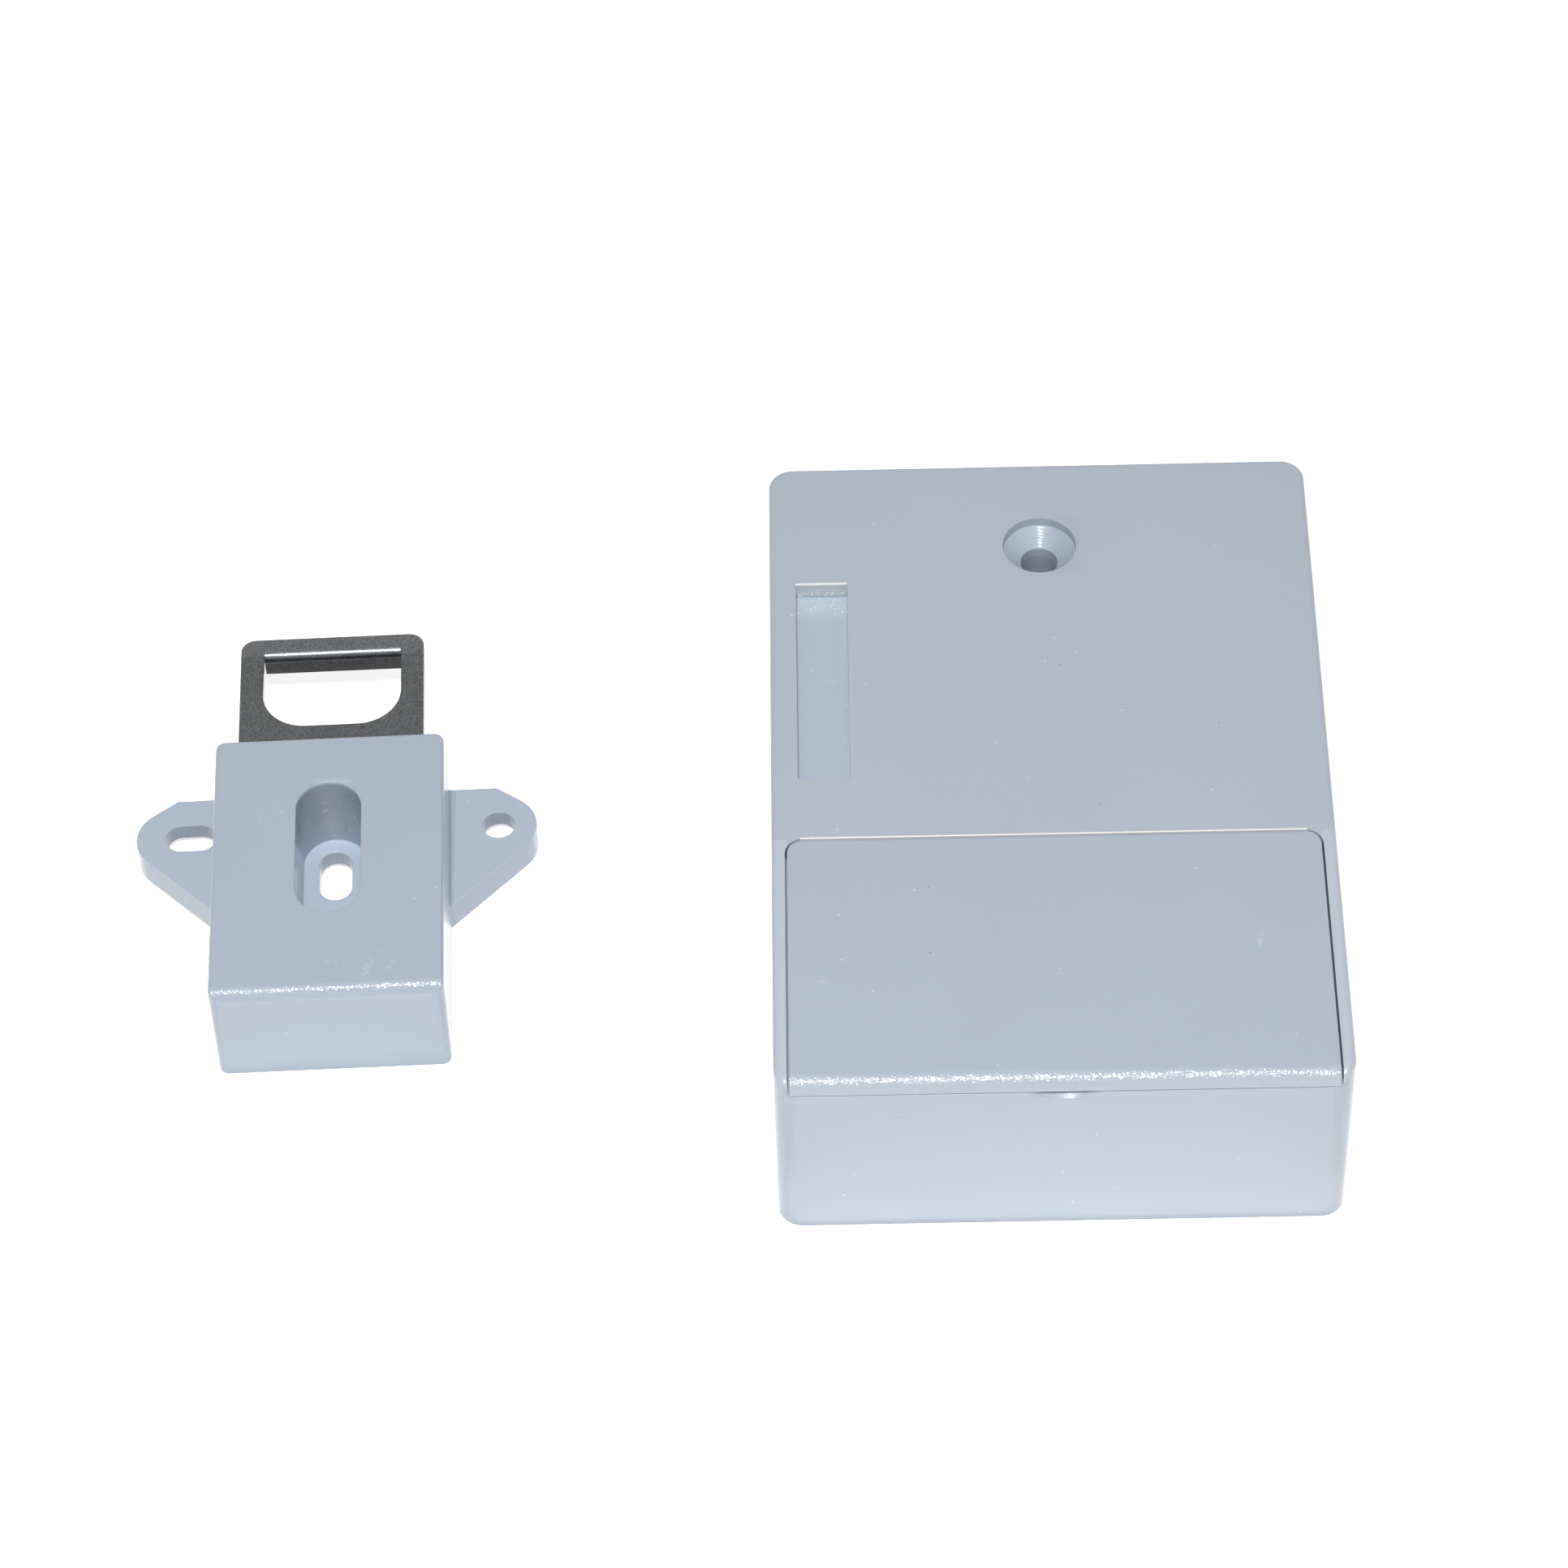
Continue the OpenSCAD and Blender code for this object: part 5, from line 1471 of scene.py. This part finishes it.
@dataclass
class ControlBoard:
    """The board with its coil, chips, capacitor, buzzer, connectors and switch. Sizes are in millimetres."""

    pad: float = 0.9
    track: float = 0.3
    copper: float = 0.05
    sunk: float = 0.02
    lanes: int = 5
    lane: float = 1.1
    fan_share: float = 0.6
    border: float = 2.0
    chip_half: float = 3.4
    leg_reach: float = 0.8
    leg_pitch: float = 0.65
    socket_wall: float = 0.7
    foot_place: float = 2.2
    coil_turns: int = 9
    coil_band: float = 3.0
    coil_corner: float = 2.5
    coil_wire: float = 0.24

    def runs(self) -> list[Profile]:
        """Lays out the tracks between the chips and the sockets.

        Returns:
            The corners of each track.
        """
        low, high = box_mm("main_board")
        chips = [(a + b) / 2 for a, b in solids_mm("control_chips")]
        plugs = [(a + b) / 2 for a, b in solids_mm("wire_connectors")]
        runs = []
        for n, chip in enumerate(chips):
            goal = plugs[n % len(plugs)]
            for k in range(self.lanes):
                step = (k - self.lanes // 2) * self.lane
                side = self.chip_half + self.fan_share * k
                start, y = chip.x + self.chip_half, chip.y + step
                goal_y = min(max(goal.y + step * self.fan_share, low.y + self.border), high.y - self.border)
                runs.append([(start, y), (start + side, y), (start + side, goal_y)])
                end = max(low.x + 1.2, chip.x - self.chip_half - 0.8 - side * self.fan_share)
                runs.append([(chip.x - self.chip_half, y), (end, y)])
        return runs

    def tracks(self) -> None:
        """The masked tracks and gilt pads on the board's upper face."""
        piece = Piece("board_tracks", TRACK_GREEN)
        edge, z = box_mm("main_board")[1].xz
        half, pad, sunk = self.track / 2, self.pad / 2, self.sunk
        runs = self.runs()
        for run in runs:
            for (ax, ay), (bx, by) in zip(run, run[1:]):
                low = (min(ax, bx) - half, min(ay, by) - half, z - sunk)
                high = (max(ax, bx) + half, max(ay, by) + half, z + self.copper)
                if high[0] < edge - 0.3:
                    piece.block(low, high, 0.0)
        piece.use(GOLD)
        ring = [(pad, -sunk), (pad, self.copper), (0.2, self.copper), (0.2, -sunk)]
        for x, y in (run[-1] for run in runs):
            if x < edge - 1.0:
                piece.lathe(ring, upright(x, y, z), 16)
        piece.place("lock_body", "board_laminate")

    def chips(self) -> None:
        """Flat chips with folded legs on all four sides."""
        piece = Piece("chip_bodies", EPOXY)
        legs = self.leg_reach
        for a, b in solids_mm("control_chips"):
            piece.use(EPOXY)
            piece.block((a.x + legs, a.y + legs, a.z + 0.1), (b.x - legs, b.y - legs, b.z), 0.14)
            first_leg = upright(a.x + 1.5, b.y - 1.5, b.z - self.sunk)
            piece.lathe([(0.28, 0.0), (0.28, 0.03), (0.18, 0.03)], first_leg, 16)
            piece.use(SOLDER)
            count = max(4, int((b.x - a.x - 2 * legs) / self.leg_pitch))
            for k, axis, side in product(range(count), (0, 1), Side):
                at = a[axis] + legs + (b[axis] - a[axis] - 2 * legs) * (k + 0.5) / count
                self.folded_leg(piece, a, b, at, axis, side)
        piece.place("lock_body", "black_plastic", "control_chips")

    def folded_leg(self, piece: Piece, a: Vector, b: Vector, at: float, axis: int, side: Side) -> None:
        """One leg that leaves the chip's side, drops and turns out on its pad.

        Args:
            piece: the piece that it is added to.
            a: the chip's lowest corner.
            b: the chip's highest corner.
            at: the leg's place along its side of the chip.
            axis: the axis that this side lies along.
            side: which of the two such sides it is.
        """
        other = 1 - axis
        edge = (b if side is Side.HIGH else a)[other]
        mid = (a.z + b.z) / 2
        path = []
        for out, height in ((0.9, mid), (0.62, mid), (0.42, a.z + 0.12), (0.02, a.z + 0.08)):
            point = Vector((0.0, 0.0, height))
            point[axis] = at
            point[other] = edge - side.value * out
            path.append(point)
        piece.tube(path, 0.1, 6)

    def round_part(self, node: str) -> tuple[Matrix, float, float]:
        """Measures a round part that stands on the board.

        Args:
            node: its CAD node.

        Returns:
            Its foot, its radius and its height.
        """
        low, high = box_mm(node)
        mid, size = (low + high) / 2, high - low
        return upright(mid.x, mid.y, low.z), size.x / 2, size.z

    def capacitor(self) -> None:
        """A radial capacitor with a rolled groove and a scored top."""
        at, r, h = self.round_part("capacitor")
        piece = Piece("capacitor_can", CAPACITOR_SLEEVE)
        side = [(r - 0.4, 0.0), (r, 0.25), (r, 0.9), (r - 0.3, 1.15), (r, 1.4), (r, h - 0.25)]
        piece.lathe(side + [(r - 0.2, h - 0.05), (r - 0.7, h - 0.05)], at, 48)
        piece.use(CAN_TOP)
        piece.lathe([(r - 0.6, h - 0.4), (r - 0.6, h - 0.06), (0.3, h - 0.06)], at, 48)
        piece.use(BLACK)
        for turn in (0.0, 60.0, 120.0):
            spin = at @ Matrix.Rotation(math.radians(turn), 4, "Z")
            piece.plate([(-1.6, -0.06), (1.6, -0.06), (1.6, 0.06), (-1.6, 0.06)], h - 0.1, h - 0.04, spin)
        piece.place("lock_body", "black_plastic", "capacitor")

    def buzzer(self) -> None:
        """A round sounder with a stepped rim and a sound hole."""
        at, r, h = self.round_part("buzzer")
        piece = Piece("buzzer_case", BLACK)
        case = [(r - 0.3, 0.0), (r, 0.3), (r, h - 0.5), (r - 0.35, h - 0.15), (r - 0.9, h)]
        piece.lathe(case + [(1.3, h), (1.05, h - 0.2), (1.05, h - 1.2), (0.2, h - 1.2)], at, 56)
        piece.use(SOLDER)
        foot = at.translation / MM
        board_top = box_mm("main_board")[1].z
        for x in (-1.6, 1.6):
            pin = upright(foot.x + x, foot.y, board_top - 0.1)
            piece.lathe([(0.5, 0.0), (0.5, 0.15), (0.3, 0.4), (0.1, 0.45)], pin, 16)
        piece.place("lock_body", "black_plastic", "buzzer")

    def connectors(self) -> None:
        """Two-way wire sockets with open mouths, keys and tinned pins."""
        piece = Piece("socket_shells", IVORY)
        t = self.socket_wall
        inner = t - 0.1
        for a, b in solids_mm("wire_connectors"):
            piece.use(IVORY)
            piece.block(a, (b.x, b.y, a.z + t), 0.1)
            piece.block((a.x, a.y, b.z - t), b, 0.1)
            piece.block((a.x, a.y, a.z + inner), (b.x, a.y + t, b.z - inner), 0.05)
            piece.block((a.x, b.y - t, a.z + inner), (b.x, b.y, b.z - inner), 0.05)
            piece.block((a.x, a.y + inner, a.z + inner), (a.x + 1.2, b.y - inner, b.z - inner), 0.05)
            piece.use(SOLDER)
            mid = (a + b) / 2
            for y in (mid.y - 0.9, mid.y + 0.9):
                piece.tube([Vector((a.x + 1.0, y, mid.z)), Vector((b.x - 1.5, y, mid.z))], 0.25, 8)
        piece.place("lock_body", "white_nylon", "wire_connectors")

    def switch(self) -> None:
        """A push switch: black base, steel lid, round plunger and four rivets."""
        a, b = box_mm("set_switch")
        mid = (a + b) / 2
        piece = Piece("push_switch", BLACK)
        piece.block(a, (b.x, b.y, b.z - 1.0))
        piece.use(NICKEL)
        piece.block((a.x + 0.1, a.y + 0.1, b.z - 1.05), (b.x - 0.1, b.y - 0.1, b.z - 0.8), 0.08)
        piece.use(BLACK)
        lid = b.z - 0.8
        piece.lathe([(1.7, 0.0), (1.7, 0.5), (1.55, 0.75), (0.3, 0.78)], upright(mid.x, mid.y, lid), 32)
        for dx, dy in product((-self.foot_place, self.foot_place), repeat=2):
            rivet = upright(mid.x + dx, mid.y + dy, lid)
            piece.lathe([(0.35, 0.0), (0.35, 0.1), (0.15, 0.16)], rivet, 12)
        piece.place("lock_body", "black_plastic", "set_switch")

    def aerial(self, steps: int = 10) -> None:
        """The flat reader coil, wound as one unbroken wire on the CAD ring's place.

        Args:
            steps: points round each corner.
        """
        a, b = box_mm("antenna_coil")
        mid = (a + b) / 2
        path = []
        for turn, quarter, k in product(range(self.coil_turns), range(4), range(steps)):
            wound = turn + (quarter + k / steps) / 4
            inset = wound * self.coil_band / self.coil_turns + self.coil_wire / 2
            r = max(0.4, self.coil_corner - inset * 0.6)
            angle = math.radians(90 * quarter + 90 * k / (steps - 1))
            sx = 1 if quarter in (0, 3) else -1
            sy = 1 if quarter in (0, 1) else -1
            x = sx * ((b.x - a.x) / 2 - inset - r) + r * math.cos(angle)
            y = sy * ((b.y - a.y) / 2 - inset - r) + r * math.sin(angle)
            path.append(mid + Vector((x, y, 0.0)))
        piece = Piece("reader_winding", COPPER)
        piece.tube(path, self.coil_wire / 2, 6)
        piece.place("lock_body", "antenna_copper", "antenna_coil", crisp=80.0)

    def build(self) -> None:
        """Builds the board and what stands on it."""
        dress("main_board", BOARD_GREEN, 0.05)
        self.tracks()
        self.aerial()
        self.chips()
        self.capacitor()
        self.buzzer()
        self.connectors()
        self.switch()
        dress("set_button", BUTTON_GREY, 0.15)
        Screws("board_screws").build()


@dataclass(frozen=True)
class Wheel:
    """A gearbox wheel: its axis beside the box's middle, its radius, its teeth and its two faces along Y."""

    x: float
    z: float
    radius: float
    teeth: int
    start: float
    end: float

    def outline(self, tooth: float) -> Profile:
        """The wheel's pointed teeth.

        Args:
            tooth: how deep the teeth are.

        Returns:
            The corners round the wheel.
        """
        count = self.teeth * 4
        points = []
        for k in range(count):
            a = TURN * (k + 0.5) / count
            r = self.radius if k % 4 in (0, 1) else self.radius - tooth
            points.append((r * math.cos(a), r * math.sin(a)))
        return points


@dataclass
class LatchDrive:
    """The gearmotor, its pinion, the carriage and the sprung bolt on their plate.

    Sizes are in millimetres, and the anchor is in metres.
    """

    plate: float = 0.8
    corner: float = 1.4
    tooth: float = 0.35
    bolt_turns: float = 7.5
    bolt_travel: float = 8.0
    bolt_anchor: Triple = (0.006, 0.0, 0.0)
    wheels: tuple[Wheel, ...] = (
        Wheel(0.0, 0.0, 3.4, 26, 1.4, 2.3),
        Wheel(2.0, 0.6, 2.6, 20, 2.5, 3.2),
        Wheel(-2.0, -0.4, 2.4, 18, 3.4, 4.2),
        Wheel(0.6, -0.6, 3.0, 22, 6.0, 6.8),
        Wheel(-1.4, 0.8, 2.2, 16, 7.0, 7.8),
    )

    def gearbox(self) -> None:
        """Three brass plates on pillars, with the reduction wheels between them."""
        a, b = box_mm("motor_gearbox")
        mid, length, cut = (a + b) / 2, b.y - a.y, self.corner
        at = on_end(a, b, Long.Y)
        hx, hz = (b.x - a.x) / 2, (b.z - a.z) / 2
        outline = [(hx, cut - hz), (hx, hz - cut), (hx - cut, hz), (cut - hx, hz)]
        outline += [(-x, -z) for x, z in outline]
        if abs(at.to_3x3().col[0].z) > 0.5:
            outline = [(z, x) for x, z in outline]
        piece = Piece("gearbox_train", BRASS)
        for start in (0.0, length * 0.55, length - self.plate):
            piece.plate(outline, start, start + self.plate, at, 0.06)
        piece.use(ZINC)
        for sx, sz in product((-1, 1), repeat=2):
            spot = Vector((mid.x + sx * (hx - 1.3), a.y, mid.z + sz * (hz - 1.7)))
            piece.lathe([(0.7, 0.1), (0.7, length - 0.1), (0.4, length - 0.05)], along(Long.Y, spot), 16)
        piece.use(BRASS)
        for wheel in self.wheels:
            axle = along(Long.Y, Vector((mid.x + wheel.x, a.y, mid.z + wheel.z)))
            piece.plate(wheel.outline(self.tooth), wheel.start, wheel.end, axle)
            piece.lathe([(0.5, 0.2), (0.5, length - 0.2)], axle, 12)
        piece.place("lock_body", "gearbox_brass", "motor_gearbox")

    def switch(self) -> None:
        """The travel switch: two case halves, a lever and three tinned legs."""
        a, b = box_mm("position_switch")
        y = (a.y + b.y) / 2
        piece = Piece("travel_switch", BLACK)
        piece.block((a.x, a.y, a.z + 0.3), (b.x, y - 0.05, b.z - 0.9))
        piece.block((a.x, y + 0.05, a.z + 0.3), (b.x, b.y, b.z - 0.9))
        piece.block((a.x + 0.15, a.y + 0.3, a.z + 0.4), (b.x - 0.15, b.y - 0.3, b.z - 1.0), 0.05)
        piece.use(NICKEL)
        lever = [(a.x + 0.3, y, b.z - 0.9), (a.x + 0.5, y, b.z - 0.5), (b.x - 0.4, y, b.z - 0.2)]
        piece.tube([Vector(point) for point in lever], 0.16, 8)
        for k in range(3):
            x = a.x + 0.9 + k * (b.x - a.x - 1.8) / 2
            piece.block((x - 0.25, y - 0.12, a.z), (x + 0.25, y + 0.12, a.z + 0.5), 0.03)
        piece.place("lock_body", "black_plastic", "position_switch")

    def build(self) -> None:
        """Builds the drive from the motor to the bolt."""
        dress("mechanism_plate", ZINC, 0.08)
        Screws("plate_screws").build()
        self.switch()
        dress("latch_motor", CAN_STEEL, 0.12)
        self.gearbox()
        dress("motor_clamp", ZINC, 0.08)
        Screws("clamp_screws").build()
        smoothed("motor_leads", "motor_lead_sleeves")
        dress("motor_shaft", SHAFT, 0.05)
        dress("drive_pinion", WHITE, 0.04)
        dress("latch_carriage", WHITE, 0.12)
        dress("latch_bolt", BOLT_ZINC, 0.15)
        CoilSprings(
            "bolt_spring", "bolt_coil", "latch_carriage", "bolt_slide", Long.X,
            self.bolt_turns, self.bolt_travel, self.bolt_anchor
        ).build()


@dataclass
class Strike:
    """The separate strike: its moulding and its steel tongue."""

    edge: float = 0.08

    def build(self) -> None:
        """Dresses both pieces."""
        dress("strike_housing", STRIKE_GREY, self.edge)
        dress("strike_plate", STEEL)


def main() -> None:
    """Builds the studio and every sub-assembly in order."""
    logging.basicConfig(level=logging.INFO, format="%(name)s %(message)s")
    for assembly in (Studio(), Shell(), BatteryBay(), Ejector(), ControlBoard(), LatchDrive(), Strike()):
        assembly.build()
        LOG.info("%s is built", type(assembly).__name__)


if __name__ == "__main__":
    main()
